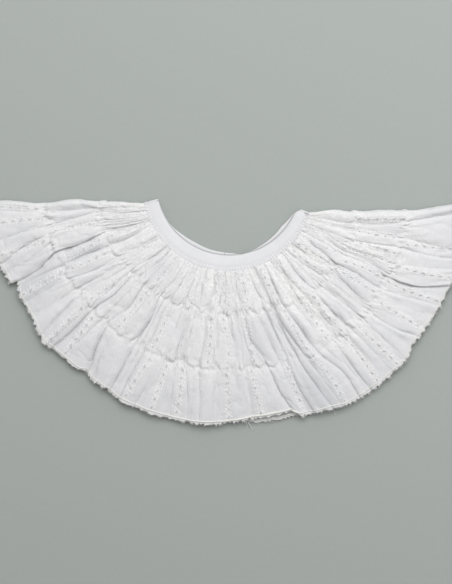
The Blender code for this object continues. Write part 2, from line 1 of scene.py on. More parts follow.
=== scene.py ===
"""Looks of a ruff collar: an openwork cotton frill gathered to a plain neckband, folded and laid flat.

The collar lies as a fan, its front half on its back half. A place on the fan has two coordinates:
  turn   0 at the left shoulder fold, 1 at the right one, in thousandths in the tables
  reach  0 at the neck seam, 1 at the mean hem
A level counts the frill's rows: 0 neck seam, 1 and 2 the shirring rows, 3 the hem. Lengths are in
millimetres until a mesh is made. The panel's sizes are in metres.
"""

import math
from collections import namedtuple
from functools import lru_cache

import bmesh
import bpy
import numpy as np
from bpy.props import FloatProperty, FloatVectorProperty, IntProperty, PointerProperty
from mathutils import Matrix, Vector


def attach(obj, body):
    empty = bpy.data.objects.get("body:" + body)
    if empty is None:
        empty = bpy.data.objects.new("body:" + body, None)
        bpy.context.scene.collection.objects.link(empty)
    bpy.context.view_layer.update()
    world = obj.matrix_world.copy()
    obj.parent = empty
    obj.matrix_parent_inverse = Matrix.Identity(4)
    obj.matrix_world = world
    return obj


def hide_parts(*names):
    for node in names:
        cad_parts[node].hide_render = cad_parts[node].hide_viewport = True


bl_info = {
    "name": "Ruff collar",
    "version": (1, 0, 0),
    "blender": (4, 5, 0),
    "location": "View3D > Sidebar > Collar",
    "description": "Builds a gathered openwork cotton ruff collar around its packed frame",
    "category": "Object",
}

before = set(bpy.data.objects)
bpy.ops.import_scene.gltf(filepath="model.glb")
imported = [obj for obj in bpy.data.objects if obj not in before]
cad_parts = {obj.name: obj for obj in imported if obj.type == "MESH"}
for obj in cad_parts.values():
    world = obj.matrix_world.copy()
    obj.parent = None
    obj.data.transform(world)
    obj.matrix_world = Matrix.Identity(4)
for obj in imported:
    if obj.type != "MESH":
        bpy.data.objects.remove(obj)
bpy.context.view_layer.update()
MM = 0.001


def table(kind, *rows):
    """Rows of numbers as named tuples of one kind."""
    return [kind(*row) for row in rows]


# ---- Plan of the fan; angles in degrees from straight down ----
FAN_CENTRE = (0.0, 131.2)
NECK_ANGLES = (-74.9, 67.6)
HEM_ANGLES = (-84.6, 84.6)
ANGLE_EASE = 0.8
NECK_RADIUS = 88.0
NECK_DROP = 4.0
NECK_SLANT = 1.5
HEM_RADIUS = 245.0

# ---- Heights above the surface it lies on ----
VALLEY_LEVEL = 4.9
HEM_VALLEY_LEVEL = 3.3
FOLD_SPLIT = 3.6
LOWEST = 0.35

# ---- Puffs: rise in each band, and the share of it left at the neck seam, both rows and the hem ----
PUFF_RISE = (5.0, 6.2, 5.4)
ROW_FULLNESS = (0.72, 0.85, 0.85, 0.74)
START_BLUNTNESS = 2.6
END_BLUNTNESS = 5.0
HEM_BLUNTNESS = 1.6
PINCH_UNEVEN = 0.2
PINCH_WAVES = (5.3, 2.2)
FULL_WIDTH = 13.0
NARROW_POWER = 0.6
UNEVEN_SHARE = 0.14
UNEVEN_WAVES = (1.7, 2.1)
CROWN_POWER = 2.4
CROWN_POWER_WIDTH = 9.0
CROWN_POWER_MORE = 2.6
LEAST_CREASE_GAP = 1.6
CREASE_CONTRAST = 1.7
CREASE_MORE = 1.12
NECK_CREASE_SHARE = 0.35
NECK_CREASE_EASE = 0.35
CREASE_SHIFT = (0.0012, 0.0093)
CREASE_SHIFT_EASE = 0.05

# ---- Rows and columns of the front frill ----
ROWS_A_BAND = (46, 56, 60)
ROW_CROWDING = 0.07
COLUMN_PITCH = 0.98
LEAST_COLUMNS = 6
COLUMN_CROWDING = 0.09
EDGE_ROUND = 0.45
EDGE_COLUMNS = 10
BEND_COLUMNS = 6
BEND_DEPTH = 2.8
BEND_RUN = 7.0

# ---- Neckband ----
BAND_INNER_RADIUS = 75.3
BAND_INNER_TAPER = 2.0
BAND_FRONT_INNER_LEVEL = 3.6
BAND_FRONT_OUTER_LEVEL = 6.0
BAND_WALL = 1.8
BAND_FRONT_STEPS = 240
BAND_BEND_STEPS = 18
BACK_OPENING = 1.0

# ---- Back half of the frill ----
BACK_GATHERS = 20
COLUMNS_A_GATHER = 10
BACK_START = 4.0
BACK_LOW = 0.9
BACK_HIGH = 3.2
BACK_CROWN_POWER = 2.2
BACK_UNEVEN = 0.12
BACK_UNEVEN_WAVE = 2.9
BACK_HEM_TOP = 1.4
BACK_HEM_THINS_FROM = 2.5
BACK_HEM_SHORTER = 0.016
BACK_HEM_EASE = 0.06
BACK_ROWS = 60
BACK_HEM_LIFT = 1.9
BACK_LIFT_TURN = 570
BACK_LIFT_WIDTH = 32

# ---- Neckband's cross-section and surface ----
BAND_OPENING = 0.12
BAND_CORNER = 4.0
BAND_CORNER_FROM = 0.96
BAND_RING = 56
BAND_SQUARENESS = 0.45
BAND_DIMPLE = 0.06
BAND_PUFF = 0.12
SEAM_SHARE = 0.76
SEAM_FULL = 0.78
BAND_DIMPLE_WAVES = (0.9, 0.37)
BAND_GROOVE = 0.6
BAND_GROOVE_WIDTH = 0.04
BAND_PUCKER = 0.75
BAND_PUCKER_STEP = 1.9
BAND_PUCKER_SHARE = 0.88
BAND_PUCKER_WIDTH = 0.1
SLIVER_GROOVE = 1.1
SLIVER_GROOVE_WIDTH = 0.8

# ---- Surface detail ----
SHELL_CORNER = math.radians(62)
NOISE_CELLS = 256
# The level along which the cloth's width is measured.
CUT_LEVEL = 2.5
# Where the cloth is drawn in to less than this share of its width, the relief fades.
RELIEF_LOOSE = 0.45
# How high the gathers may stand at the neck seam, so that their ends close against the neckband.
NECK_SEAM_TOP = 6.3
NECK_SEAM_RISE = 4.2
NECK_SEAM_REACH = 3.0
# How the relief's pattern wanders: pitch across and outward, and how far each way, in mm.
WANDER = ((11.0, 15.0, 2.6), (9.0, 19.0, 6.0))
WANDER_SEED = 90
# Relief of the front cloth: pitch across the puffs and outward, slant of the pattern, height, how
# sharp its creases are (0 leaves soft waves), and the row it keeps to with its reach, all in mm.
Relief = namedtuple("Relief", "across out slant height sharp level reach seed")
RELIEFS = table(
    Relief,
    (10.0, 30.0, 0.004, 1.00, 0.0, None, 0.0, 1),
    (8.0, 24.0, 0.006, 0.55, 0.30, None, 0.0, 2),
    (9.0, 14.0, 0.06, 0.25, 0.25, None, 0.0, 12),
    (3.6, 11.0, -0.01, 0.32, 0.0, None, 0.0, 3),
    (5.0, 2.6, 0.04, 0.07, 0.0, None, 0.0, 4),
    (2.2, 7.0, 0.0, 0.35, 0.0, 0, 5.0, 5),
    (4.6, 16.0, 0.0, 0.32, 0.5, 0, 13.0, 6),
    (2.5, 8.0, 0.02, 1.30, 0.0, 1, 4.2, 7),
    (4.4, 12.0, 0.03, 0.80, 0.4, 1, 9.0, 8),
    (2.5, 8.0, -0.02, 1.30, 0.0, 2, 4.2, 9),
    (4.4, 12.0, -0.03, 0.80, 0.4, 2, 9.0, 10),
)
# What is left between sharp creases, which are 1 deep.
SHARP_MIDDLE = 0.5
# Rounded puff ends past the two rows: where a puff is read (levels before the row), how far its end and
# its unevenness reach (mm), and the step in height that goes with it.
SCALLOP_LEVEL = 0.2
SCALLOP_OUT = 5.0
SCALLOP_MIDDLE = 0.5
SCALLOP_UNEVEN = 2.3
SCALLOP_PITCH = 8.0
SCALLOP_REACH = 7.0
SCALLOP_STEP = 0.6
SCALLOP_STEP_UNEVEN = 0.7
SCALLOP_STEP_REACH = 4.0
SCALLOP_EDGE = 1.3
SCALLOP_SEED = 50
HEM_SEED = 7
HEM_RAGGED = 1.1
TUFT_PITCH = 2.0
# A second, finer set of tufts (share, times as fine), the share of single threads, and the row before.
TUFTS_MORE = (0.6, 2.3)
TUFT_THREADS = 0.3
HEM_ROW_BEFORE = 0.4

WRINKLE_FLOOR = 3.9
WRINKLE_END_EASE = 5
# Single troughs (rise below 0) and ridges, each along a straight run of the fan, in thousandths of
# turn and reach; widths at both ends and rise are in mm.
Wrinkle = namedtuple("Wrinkle", "turn reach to_turn to_reach width to_width rise open_ends")
WRINKLES = table(
    Wrinkle,
    # troughs of the inner tier
    (224, 200, 242, 232, 1.0, 1.0, -1.0, 0.2),
    (242, 232, 264, 300, 1.0, 1.2, -1.0, 0.6),
    (352, 150, 336, 270, 1.0, 1.2, -1.0, 0.2),
    (455, 225, 432, 274, 1.1, 1.0, -0.9, 0.5),
    (432, 274, 391, 232, 1.0, 0.9, -0.9, 0.3),
    (388, 205, 398, 268, 0.8, 0.9, -0.8, 0.2),
    (554, 255, 585, 282, 1.0, 1.0, -0.9, 0.3),
    (612, 175, 634, 278, 1.3, 1.2, -1.0, 0.3),
    (912, 190, 894, 262, 1.3, 1.2, -1.0, 0.2),
    (803, 165, 804, 300, 1.2, 1.1, -0.8, 0.2),
    (27, 190, 27, 235, 1.6, 1.6, -0.9, 0.3),
    # troughs of the middle and outer tiers
    (402, 330, 402, 520, 4.0, 4.5, -1.5, 0.0),
    (518, 400, 516, 590, 4.0, 4.0, -1.5, 0.0),
    (594, 320, 603, 590, 3.0, 3.6, -1.9, 0.1),
    (557, 440, 582, 605, 1.1, 1.1, -1.0, 0.4),
    (228, 530, 262, 480, 2.4, 2.2, -0.8, 0.1),
    (180, 635, 197, 900, 1.1, 1.3, -0.8, 0.2),
    (155, 670, 174, 820, 1.1, 1.1, -0.6, 0.1),
    (253, 640, 281, 930, 1.6, 1.8, -0.9, 0.5),
    (375, 650, 370, 930, 2.2, 2.6, -0.8, 0.2),
    (407, 640, 404, 930, 2.0, 3.0, -0.7, 0.2),
    (441, 650, 446, 900, 2.0, 3.0, -0.7, 0.1),
    (515, 640, 514, 900, 3.0, 4.0, -0.8, 0.1),
    (623, 640, 625, 920, 2.0, 2.4, -0.8, 0.2),
    (736, 640, 727, 930, 2.4, 3.4, -0.8, 0.1),
    (671, 300, 674, 590, 2.2, 2.2, -1.6, 0.3),
    (112, 300, 113, 560, 2.0, 2.0, -1.5, 0.3),
    (86, 340, 92, 600, 2.6, 2.6, -2.2, 0.2),
    (98, 650, 117, 930, 2.6, 5.0, -3.0, 0.3),
    # gathers that stand up between the puffs at the two shirring rows
    (468, 165, 467, 330, 1.6, 4.2, 1.6, 0.0),
    (350, 170, 352, 260, 1.0, 3.4, 1.3, 0.3),
    (544, 190, 545, 290, 1.0, 3.0, 1.3, 0.3),
    (725, 180, 716, 320, 1.6, 4.0, 1.3, 0.2),
    (292, 175, 290, 245, 2.0, 3.2, 1.2, 0.1),
    (212, 290, 219, 400, 2.6, 1.2, 1.4, 0.2),
    (418, 440, 421, 600, 0.9, 2.6, 1.9, 0.3),
    (480, 470, 481, 600, 0.9, 2.2, 1.7, 0.3),
    (341, 530, 341, 640, 1.2, 2.8, 1.3, 0.2),
    (243, 530, 246, 620, 1.0, 2.4, 1.4, 0.3),
    (555, 500, 558, 640, 1.0, 3.0, 1.4, 0.2),
    (444, 660, 445, 800, 1.4, 2.6, 1.2, 0.0),
    (738, 420, 741, 560, 1.8, 3.2, 1.2, 0.1),
    (778, 440, 777, 590, 1.6, 2.4, 1.2, 0.1),
    (787, 690, 790, 950, 1.2, 2.6, 1.2, 0.3),
    (841, 610, 841, 780, 1.4, 2.6, 1.2, 0.2),
    (929, 400, 930, 570, 1.8, 3.2, 1.2, 0.1),
)

# Openwork rows of each band: the turn, in thousandths, at the band's start and at its end.
OPENWORK_TURNS = (
    (
        (91, 91), (282, 282), (469, 469), (502, 502), (578, 578), (660, 660), (818, 818),
        (851, 851), (887, 887),
    ),
    (
        (43, 48), (89, 107), (128, 130), (207, 200), (278, 278), (355.5, 355.5), (468, 467),
        (499, 504), (558, 558), (662, 662), (712, 703), (748, 735.5), (844.5, 835.5),
        (871, 867), (909, 902), (931, 922), (960, 953), (994.5, 993.3),
    ),
    (
        (3, 3), (21, 28), (63.3, 75.5), (128, 139), (202, 214.5), (229, 243), (361, 349),
        (392, 389), (420, 425.5), (501, 501), (548, 548), (613.3, 606.7), (664.5, 662),
        (731, 714.5), (762, 750), (822, 811), (864.5, 855.5), (898, 893), (942, 935.5),
    ),
)
Openwork = namedtuple("Openwork", "band start end")
OPENWORK = [Openwork(band, *ends) for band, rows in enumerate(OPENWORK_TURNS, 1) for ends in rows]
OPENWORK_ENDS = 0.05

# Soft patches of painted shade (below 0) and painted light, where the cloth is drawn greyer or whiter:
# their turn in thousandths, level, half width in thousandths of the turn, half length in levels and
# whiteness.
PaintedPatch = namedtuple("PaintedPatch", "turn level wide long white")
PAINTED_LIGHT_AND_SHADE = table(
    PaintedPatch,
    (130, 2.6, 14, 0.55, -0.60),
    (106, 1.6, 18, 0.60, -0.55),
    (580, 1.5, 40, 0.50, -0.35),
    (642, 2.6, 36, 0.60, -0.60),
    (722, 1.0, 20, 1.00, 0.70),
    (845, 0.5, 16, 0.35, 0.45),
    (880, 0.5, 16, 0.40, -0.75),
    (842, 1.5, 22, 0.45, -0.45),
    (920, 1.5, 18, 0.45, 0.55),
    (280, 0.5, 50, 0.45, -0.55),
    (760, 0.5, 14, 0.35, -0.50),
)
# How large the slits are in each band.
SLIT_SIZES = (0.8, 0.95, 1.1)
# How far the chain on each side of the slits lies from them, and the white stripe that goes with them.
CHAIN_ASIDE = 2.5
STRIPE_HALF_WIDTH = 4.4
STRIPE_UNEVEN = 0.35
STRIPE_PATCH = 9.0
STRIPE_SEED = 30
# How white the plain cloth is, level by level: partly its thinness towards the hem, partly painted light
# and shade, whitest next to the neck seam.
WHITE_LEVELS = (0.0, 0.9, 1.05, 1.3, 1.85, 2.05, 2.3, 3.0)
WHITE_PLAIN = (1.2, 0.85, 1.05, 0.68, 0.62, 0.85, 0.55, 0.38)
# Steps of an openwork path from slit to slit, and which of them hold a slit and thread bars.
STEPS_A_SLIT = 8
SLIT_STEPS = [0]
BAR_STEPS = [2, 4, 6]
# Pitches left free at a row's ends, and the places that a row needs.
SLIT_ROOM = 0.3
LEAST_PLACES = 5

# ---- Stitches, in metres and radians, and how much lighter than its middle the painted shade in a slit gets ----
SEAM_STITCH = {"Thickness": 0.0006, "Lift": 0.0, "Slant": 0.25}
BAR_STITCH = {"Length": 0.0026, "Thickness": 0.0006, "Zigzag": 0.8}
CHAIN_STITCH = {"Pitch": 0.0038, "Length": 0.0036, "Thickness": 0.0009, "Lift": 0.0}
CHAIN_STITCH |= {"Slant": 0.55, "Zigzag": 0.2}
SHIRRING_STITCH = {"Length": 0.0017, "Thickness": 0.0004, "Lift": 0.0}
LOOSE_THREAD = {"Radius": 0.00034, "Sides": 5}
GAP_SHADE_LIGHTER = 1.25
# How far stitches and slits lie askew at random, to either side, and their smallest and largest scale.
STITCH_LOOSE = 0.12
STITCH_SCALES = (0.8, 1.15)
SLIT_LOOSE = 0.3
SLIT_SCALES = (0.6, 1.15)

# ---- Hem ----
# How many times the panel's pitch each half's fraying has, and how far its threads may droop.
FRAYING = {"front": (1.0, 0.4), "back": (2.4, 0.05)}
HEM_LINE_LEVEL = 2.962
FRAY_ROOT = 0.4
# Patches of longer and shorter fraying: the noise that counts as short and as long, and their lengths.
FRAY_PATCHES = (0.35, 0.68, 0.35, 1.0)
# A loose end's bend, in shares of its length, and how far it may turn about each axis, in radians. Its
# droop is the other limit of its second turn.
FRAY_BEND = {"Start": (-0.3, 0.0, 0.0), "Middle": (0.5, 0.22, 0.12), "End": (1.0, -0.1, 0.0)}
FRAY_TURNS = (1.5, 0.1, 0.75)
# Threads that hang loose at the hem: points in mm, and the steps from each to the next.
LOOSE_STEPS = 6
LOOSE_THREADS = (
    ((19.0, -110.5, 3.6), (20.4, -113.8, 2.2), (22.2, -116.8, 1.1), (24.0, -119.4, 0.5)),
    ((17.2, -110.0, 3.6), (17.8, -113.4, 1.6), (18.6, -116.8, 0.5)),
    ((103.0, -93.0, 3.6), (104.6, -98.0, 1.8), (106.8, -104.5, 0.5)),
)

# ---- Cotton's surface ----
# Scales of its noises, in waves to the metre; two numbers are across and along the cloth.
PATCH_SCALE = 38.0
LUMP_SCALE = 430.0
GATHER_SCALE = (330.0, 120.0)
SLUB_SCALE = (900.0, 45.0)
# Shares that are added up: gathers on top of lumps, slubs on top of the weave.
GATHER_SHARE = 0.7
SLUB_SHARE = 1.4
# Which noise counts as white and as grey, and the shares of shade that go with them.
PATCH_GREY = (0.35, 0.75, 0.0, 0.55)
SLUB_GREY = (0.4, 0.62, 0.0, 0.45)
# Striped cotton's shade: a part that is always there, and the shares of unevenness, of thinness with the
# painted light and shade of its white attribute, and of lumps, which paints shade into the crumples'
# hollows and light onto their tops.
EVEN_GREY = 0.2
STRIPED_GREY = (0.4, 0.55, -1.2)
# Strength and depth, in metres, of the weave's and the lumps' relief.
BAND_WEAVE = (0.2, 0.00012)
FRILL_WEAVE = (0.35, 0.00012)
LUMP_RELIEF = (0.6, 0.001)
COTTON_ROUGHNESS = (0.79, 0.91)

# Least height of every piece over the floor, in mm.
FLOOR_GAP = 0.02

# ---- Stage, in metres ----
Lamp = namedtuple("Lamp", "name place size power")
LAMPS = table(
    Lamp,
    ("softbox", (0.1, 0.98, 1.62), 1.5, 24.5),
    ("fill", (0.9, 0.2, 0.8), 1.0, 2.0),
)
WORLD_STRENGTH = 0.55
VIEW_GAMMA = 0.78
VIEW_EXPOSURE = 0.04
FLOOR_SIZE = 4.0
FLOOR_TOOTH = 0.96
CAMERA_PLACE = (-0.003, 0.0194, 0.9)
VIEW_HEIGHT = 0.584
VIEW_LEVEL = 0.006

# Creases between the puffs, from the left shoulder to the right: where each lies, in thousandths of
# the turn, at the neck seam, in band 1, on row 1, in band 2, on row 2, in band 3 and at the hem, and
# how deep it is in each band, from 0 to 1.
Crease = namedtuple("Crease", "neck band1 row1 band2 row2 band3 hem deep1 deep2 deep3")
CREASES = table(
    Crease,
    (16.7, 10, 3.5, 6.2, 7.8, 8, 8, 0.5, 0.32, 0.25),
    (33, 27, 14.5, 23, 32, 40, 50, 0.0, 0.45, 0.35),
    (50, 45, 37, 42, 47, 62, 82, 0.1, 0.1, 0.6),
    (71, 62, 54, 66, 66, 85, 95, 0.6, 0.0, 0.0),
    (75.5, 74.5, 68, 80.5, 83, 104, 110, 0.9, 0.5, 0.8),
    (104, 111, 110, 108, 112, 115, 118, 0.6, 0.65, 0.55),
    (158, 153, 148, 149, 142, 142, 145, 0.1, 0.45, 0.15),
    (178, 175, 170, 166, 165, 166, 170, 0.0, 0.0, 0.0),
    (190, 187, 185, 182, 178, 187, 198, 0.0, 0.0, 0.5),
    (216.7, 211, 200, 206, 205, 209, 213, 0.5, 0.3, 0.0),
    (219, 216, 214.5, 220, 214.5, 220, 222, 0.5, 0.55, 0.7),
    (244, 240, 232, 240, 240, 240, 241, 1.0, 0.3, 0.4),
    (262, 258, 255.5, 264.5, 255.5, 268, 281, 0.3, 0.4, 0.7),
    (285, 283, 281, 282, 274, 279, 292, 0.0, 0.0, 0.3),
    (324.5, 323.5, 310, 320.5, 319, 321.5, 322.5, 0.75, 0.6, 0.5),
    (338, 336, 326, 328, 331, 331, 332, 0.1, 0.3, 0.3),
    (354, 350, 338, 340, 341, 338, 340, 0.6, 0.1, 0.3),
    (385, 384, 381, 382, 378, 371, 364, 0.2, 0.4, 0.2),
    (405, 404, 403, 402, 404, 410, 414, 0.2, 0.25, 0.4),
    (425, 424, 420, 419, 424, 435, 440, 0.2, 0.35, 0.2),
    (464.5, 468, 449, 453, 449, 455, 457, 0.45, 0.3, 0.2),
    (491, 491, 484, 482, 481, 480, 478, 0.8, 0.3, 0.2),
    (508, 508, 507, 516, 503, 502, 501, 0.1, 0.1, 0.4),
    (532, 532, 530, 535.5, 533, 535.5, 535.5, 0.1, 0.3, 0.25),
    (551, 547, 556, 558.5, 579, 583, 592, 0.3, 0.35, 0.6),
    (585, 587, 589, 598, 603, 605, 607, 0.2, 0.3, 0.15),
    (606, 612, 615.5, 619, 617, 615, 618, 0.35, 0.7, 0.25),
    (632, 635, 638, 636, 637, 640.5, 643.5, 0.1, 0.6, 0.45),
    (643, 643, 643, 645.5, 651, 655.5, 655.5, 0.05, 0.75, 0.3),
    (685, 675.5, 668, 673.5, 674.5, 688, 682, 0.85, 0.8, 0.6),
    (700, 698, 695, 697, 690, 699, 694, 0.1, 0.15, 0.25),
    (715, 714, 713, 714, 712, 705, 700, 0.0, 0.0, 0.0),
    (735, 729.5, 733, 729, 730.5, 723, 714, 0.7, 0.0, 0.2),
    (778, 763, 758, 752.5, 750, 745, 738, 0.65, 0.85, 0.25),
    (790, 784, 783, 782.5, 779, 771, 763, 0.1, 0.5, 0.15),
    (806, 800.5, 805.5, 803, 798, 794, 800, 0.05, 0.1, 0.4),
    (838, 833, 835.5, 820, 810, 812, 813, 0.25, 0.15, 0.1),
    (889, 874, 860, 856, 847, 850, 851.5, 0.6, 0.4, 0.3),
    (918, 907, 894, 891, 875, 872, 885, 0.15, 0.15, 0.45),
    (935, 930, 915, 910, 902, 905, 908, 0.0, 0.0, 0.2),
    (952, 946, 936.7, 937, 937, 926.5, 925, 0.0, 0.65, 0.65),
    (968, 964, 961, 958, 956, 945, 936, 0.0, 0.0, 0.3),
    (983, 981, 980, 982, 987, 991, 989, 0.4, 0.5, 0.6),
)

# Where the two shoulder folds lie, at the same seven stations, in thousandths of the turn.
LEFT_FOLD = (0, -10.5, -13, -18.6, -8.4, -8.2, -4)
RIGHT_FOLD = (1000, 1019.7, 1013, 1016.6, 1008.3, 1007.2, 1004)

# Creases where one puff lies over the next: which crease, the side its upper cloth comes from (1 is
# the left), and how far it hangs over, in mm, at the seven stations.
Overlap = namedtuple("Overlap", "crease side over")
OVERLAPS = table(
    Overlap,
    (4, 1, (0, 0, 0, 8, 5, 11, 14)),
    (38, -1, (0, 0, 0, 0, 0, 4, 6)),
)
UPPER_HEM_CREASE = 4

# Six places lead the cloth round an overlap, from its upper layer to its lowest. Each is shifted by
# the overhang (0 or -1 of it) and by a number of layer steps. Its height, in layer steps too, is steep
# where the fold starts and stacked where it lies over.
FoldSpot = namedtuple("FoldSpot", "overhang steps steep stacked")
FOLD_SPOTS = table(
    FoldSpot,
    (0, -1, 4.0, 4.0),
    (0, 0, 3.2, 3.0),
    (0, -1, 2.4, 2.0),
    (-1, -1, 1.6, 2.0),
    (-1, -2, 0.8, 1.0),
    (-1, -1, 0.0, 0.0),
)
FOLD_STEPS = 5
LAYER_STEP = 0.85
FOLD_SPACING = 0.5
FOLD_LEAD = 0.7
FOLD_EASE = 0.4
UNDER_MARGIN = 0.8
LEAST_UNDER = 0.01
STACK_MARGIN = 1.5
STACK_EASE = 3.0

# Pairs of a turn, in thousandths, and a value there. First the reach of the hem and shirring rows.
HEM = (
    (80, 0.930), (119, 0.935), (140, 0.960), (180, 0.970), (210, 1.007), (240, 0.985), (272, 0.980),
    (281, 0.952), (292, 0.980), (322, 0.980), (340, 1.000), (450, 1.003), (490, 0.990), (535, 0.963),
    (590, 0.960), (600, 1.005), (640, 1.030), (662, 1.055), (720, 1.055), (768, 1.042), (780, 1.010),
    (870, 1.000), (1000, 1.000),
)
UPPER_HEM = ((0, 1.000), (60, 1.000), (112, 0.980))
BACK_HEM_SHOWS = ((500, 0.0), (540, 0.050), (590, 0.058), (602, 0.0))
# How much fuller the hem's rolled cord is than its thinnest.
HEM_ROLL = (
    (0, 0.1), (300, 0.2), (400, 0.5), (500, 0.9), (560, 1.4), (596, 1.4), (606, 0.0), (640, 0.3),
    (780, 0.3), (1000, 0.0),
)
ROW_1 = (
    (0, 0.272), (60, 0.285), (120, 0.284), (180, 0.272), (640, 0.273), (690, 0.308), (790, 0.308),
    (850, 0.280), (900, 0.285), (1000, 0.285),
)
ROW_2 = (
    (0, 0.612), (200, 0.618), (600, 0.625), (650, 0.645), (770, 0.655), (830, 0.620), (920, 0.600),
    (1000, 0.600),
)
# How far the back half of the neckband shows inside the front half, in mm.
BACK_BAND_SHOWS = (
    (0, 0.0), (140, 0.8), (239, 3.6), (326, 4.7), (405, 3.9), (475, 3.4), (545, 2.4), (592, 0.2),
    (640, 0.8), (706, 2.6), (760, 3.3), (870, 4.6), (920, 3.0), (970, 1.0), (1000, 0.0),
)


# ---------------------------------------------------------------- fan


def along_pairs(pairs, turn):
    """Read a table of pairs at a turn, running straight from one to the next."""
    return np.interp(np.asarray(turn) * 1000, *zip(*pairs))


def curve_share(before, start, end, after, f):
    """A smooth curve from start to end, at the share f of the way."""
    slope_in, slope_out = (end - before) / 2, (after - start) / 2
    return (
        start * (2 * f**3 - 3 * f**2 + 1)
        + slope_in * (f**3 - 2 * f**2 + f)
        + end * (3 * f**2 - 2 * f**3)
        + slope_out * (f**3 - f**2)
    )


def along_stations(values, level):
    """Read a row of seven stations at a level from 0 to 3, with a smooth curve through them."""
    place = min(max(level * 2, 0.0), 6.0)
    i = min(int(place), 5)
    return curve_share(values[max(i - 1, 0)], values[i], values[i + 1], values[min(i + 2, 6)], place - i)


def blend(start, end, share):
    """The value a share of the way from start to end."""
    return start + (end - start) * share


def eased(share):
    """A share from 0 to 1 that starts and ends softly."""
    return share * share * (3 - 2 * share)


def bell(away, width):
    """1 where away is 0, fading over a width to either side."""
    return np.exp(-((away / width) ** 2))


def unit(vectors):
    """Vectors of the same direction and length 1."""
    return vectors / np.linalg.norm(vectors, axis=-1, keepdims=True)


def run_lengths(points):
    """Distance run from the first point to each, along the last axis but one."""
    steps = np.linalg.norm(np.diff(points, axis=-2), axis=-1)
    return np.concatenate([np.zeros((*steps.shape[:-1], 1)), np.cumsum(steps, axis=-1)], axis=-1)


def nearest(levels, level):
    """Number of the row nearest to a level."""
    return int(np.argmin(abs(levels - level)))


def neck_radius(turn):
    """Radius of the neck seam, largest at the middle of the front."""
    return NECK_RADIUS + NECK_DROP * (1 - (2 * turn - 1) ** 2) - NECK_SLANT * turn


def fan_angle(turn, reach):
    """Angle of a place on the fan, from straight down, in radians."""
    ease = np.maximum(reach, 0.0) ** ANGLE_EASE
    return np.radians(blend(blend(*NECK_ANGLES, turn), blend(*HEM_ANGLES, turn), ease))


def fan_radius(turn, reach):
    return blend(neck_radius(turn), HEM_RADIUS, reach)


def turn_per_mm(turn, reach):
    """How much turn a millimetre along the arc takes."""
    step = 0.001
    sweep = (fan_angle(turn + step, reach) - fan_angle(turn, reach)) / step
    return 1 / (sweep * fan_radius(turn, reach))


def fan_place(turn, reach, shift=0.0, height=0.0, outward=0.0):
    """Points on the fan; shift is mm towards the right shoulder, outward is mm away from the neck."""
    angle = fan_angle(turn, reach)
    radius = fan_radius(turn, reach) + outward
    x = FAN_CENTRE[0] + np.sin(angle) * radius + np.cos(angle) * shift
    y = FAN_CENTRE[1] - np.cos(angle) * radius + np.sin(angle) * shift
    return np.stack(np.broadcast_arrays(x, y, height), axis=-1)


def reach_at(level, turn, hem=None):
    """Reach of a level: straight from the neck seam to row 1, to row 2, to the hem."""
    row_1, row_2 = along_pairs(ROW_1, turn), along_pairs(ROW_2, turn)
    hem = along_pairs(HEM, turn) if hem is None else hem
    if level <= 1:
        return row_1 * level
    if level <= 2:
        return blend(row_1, row_2, level - 1)
    return blend(row_2, hem, level - 2)


# ---------------------------------------------------------------- frill's form


def swell(level, index=0):
    """How full a puff is along a band: drawn in at the shirring rows, unevenly, and full between them."""
    band = min(int(level), 2)
    share = level - band
    side = 0 if share < 0.5 else 1
    row = band + side
    drawn = 1 - ROW_FULLNESS[row]
    if row in (1, 2):
        drawn -= PINCH_UNEVEN * math.sin(PINCH_WAVES[0] * index + PINCH_WAVES[1] * row)
    blunt = START_BLUNTNESS if side == 0 else (HEM_BLUNTNESS if band == 2 else END_BLUNTNESS)
    return 1 - drawn * abs(2 * share - 1) ** blunt


def valley(level):
    """Height of the creases' floor: level over the back half, lower at the hem."""
    drop = max(level - 2, 0.0) ** 2
    return VALLEY_LEVEL - (VALLEY_LEVEL - HEM_VALLEY_LEVEL) * drop


@lru_cache(maxsize=None)
def crease_turns(level):
    """Turns of the left fold, every crease and the right fold at a level, kept apart."""
    reach = reach_at(level, 0.5)
    rows = [LEFT_FOLD] + [crease[:7] for crease in CREASES] + [RIGHT_FOLD]
    turns = [along_stations(row, level) / 1000 for row in rows]
    for i in range(1, len(turns) - 1):
        ease = min(turns[i] / CREASE_SHIFT_EASE, (1 - turns[i]) / CREASE_SHIFT_EASE, 1.0)
        turns[i] += ease * (CREASE_SHIFT[0] + CREASE_SHIFT[1] * (0.5 - turns[i]))
    for i in range(1, len(turns)):
        turns[i] = max(turns[i], turns[i - 1] + LEAST_CREASE_GAP * turn_per_mm(turns[i], reach))
    turns[-1] = along_stations(RIGHT_FOLD, level) / 1000
    for i in range(len(turns) - 2, 0, -1):
        turns[i] = min(turns[i], turns[i + 1] - LEAST_CREASE_GAP * turn_per_mm(turns[i], reach))
    return turns


def along_bands(values, level, ease=float):
    """Read one value for each band at a level: each holds at its band's middle. Also the place read."""
    place = min(max(level - 0.5, 0.0), 2.0)
    i = min(int(place), 1)
    return blend(values[i], values[i + 1], ease(place - i)), place


def crease_depth(crease, level):
    """Depth of a crease at a level, easing from each band's depth to the next."""
    depth = along_bands((crease.deep1, crease.deep2, crease.deep3), level, eased)[0]
    near_neck = NECK_CREASE_SHARE + (1 - NECK_CREASE_SHARE) * min(level / NECK_CREASE_EASE, 1.0)
    return near_neck * CREASE_MORE * depth**CREASE_CONTRAST


def puff_height(index, width, level):
    """Height of a puff's crown over the crease floor."""
    rise, place = along_bands(PUFF_RISE, level)
    fullness = min(1.0, (width / FULL_WIDTH) ** NARROW_POWER)
    wave = UNEVEN_WAVES[0] * index + UNEVEN_WAVES[1] * place
    return rise * fullness * (1 + UNEVEN_SHARE * math.sin(wave)) * swell(level, index)


def crown(share, width):
    """Rounded puff from crease to crease: 0 at both, 1 at the middle, flatter on a broad puff."""
    power = CROWN_POWER + min(width / CROWN_POWER_WIDTH, CROWN_POWER_MORE)
    return 1 - abs(2 * share - 1) ** power


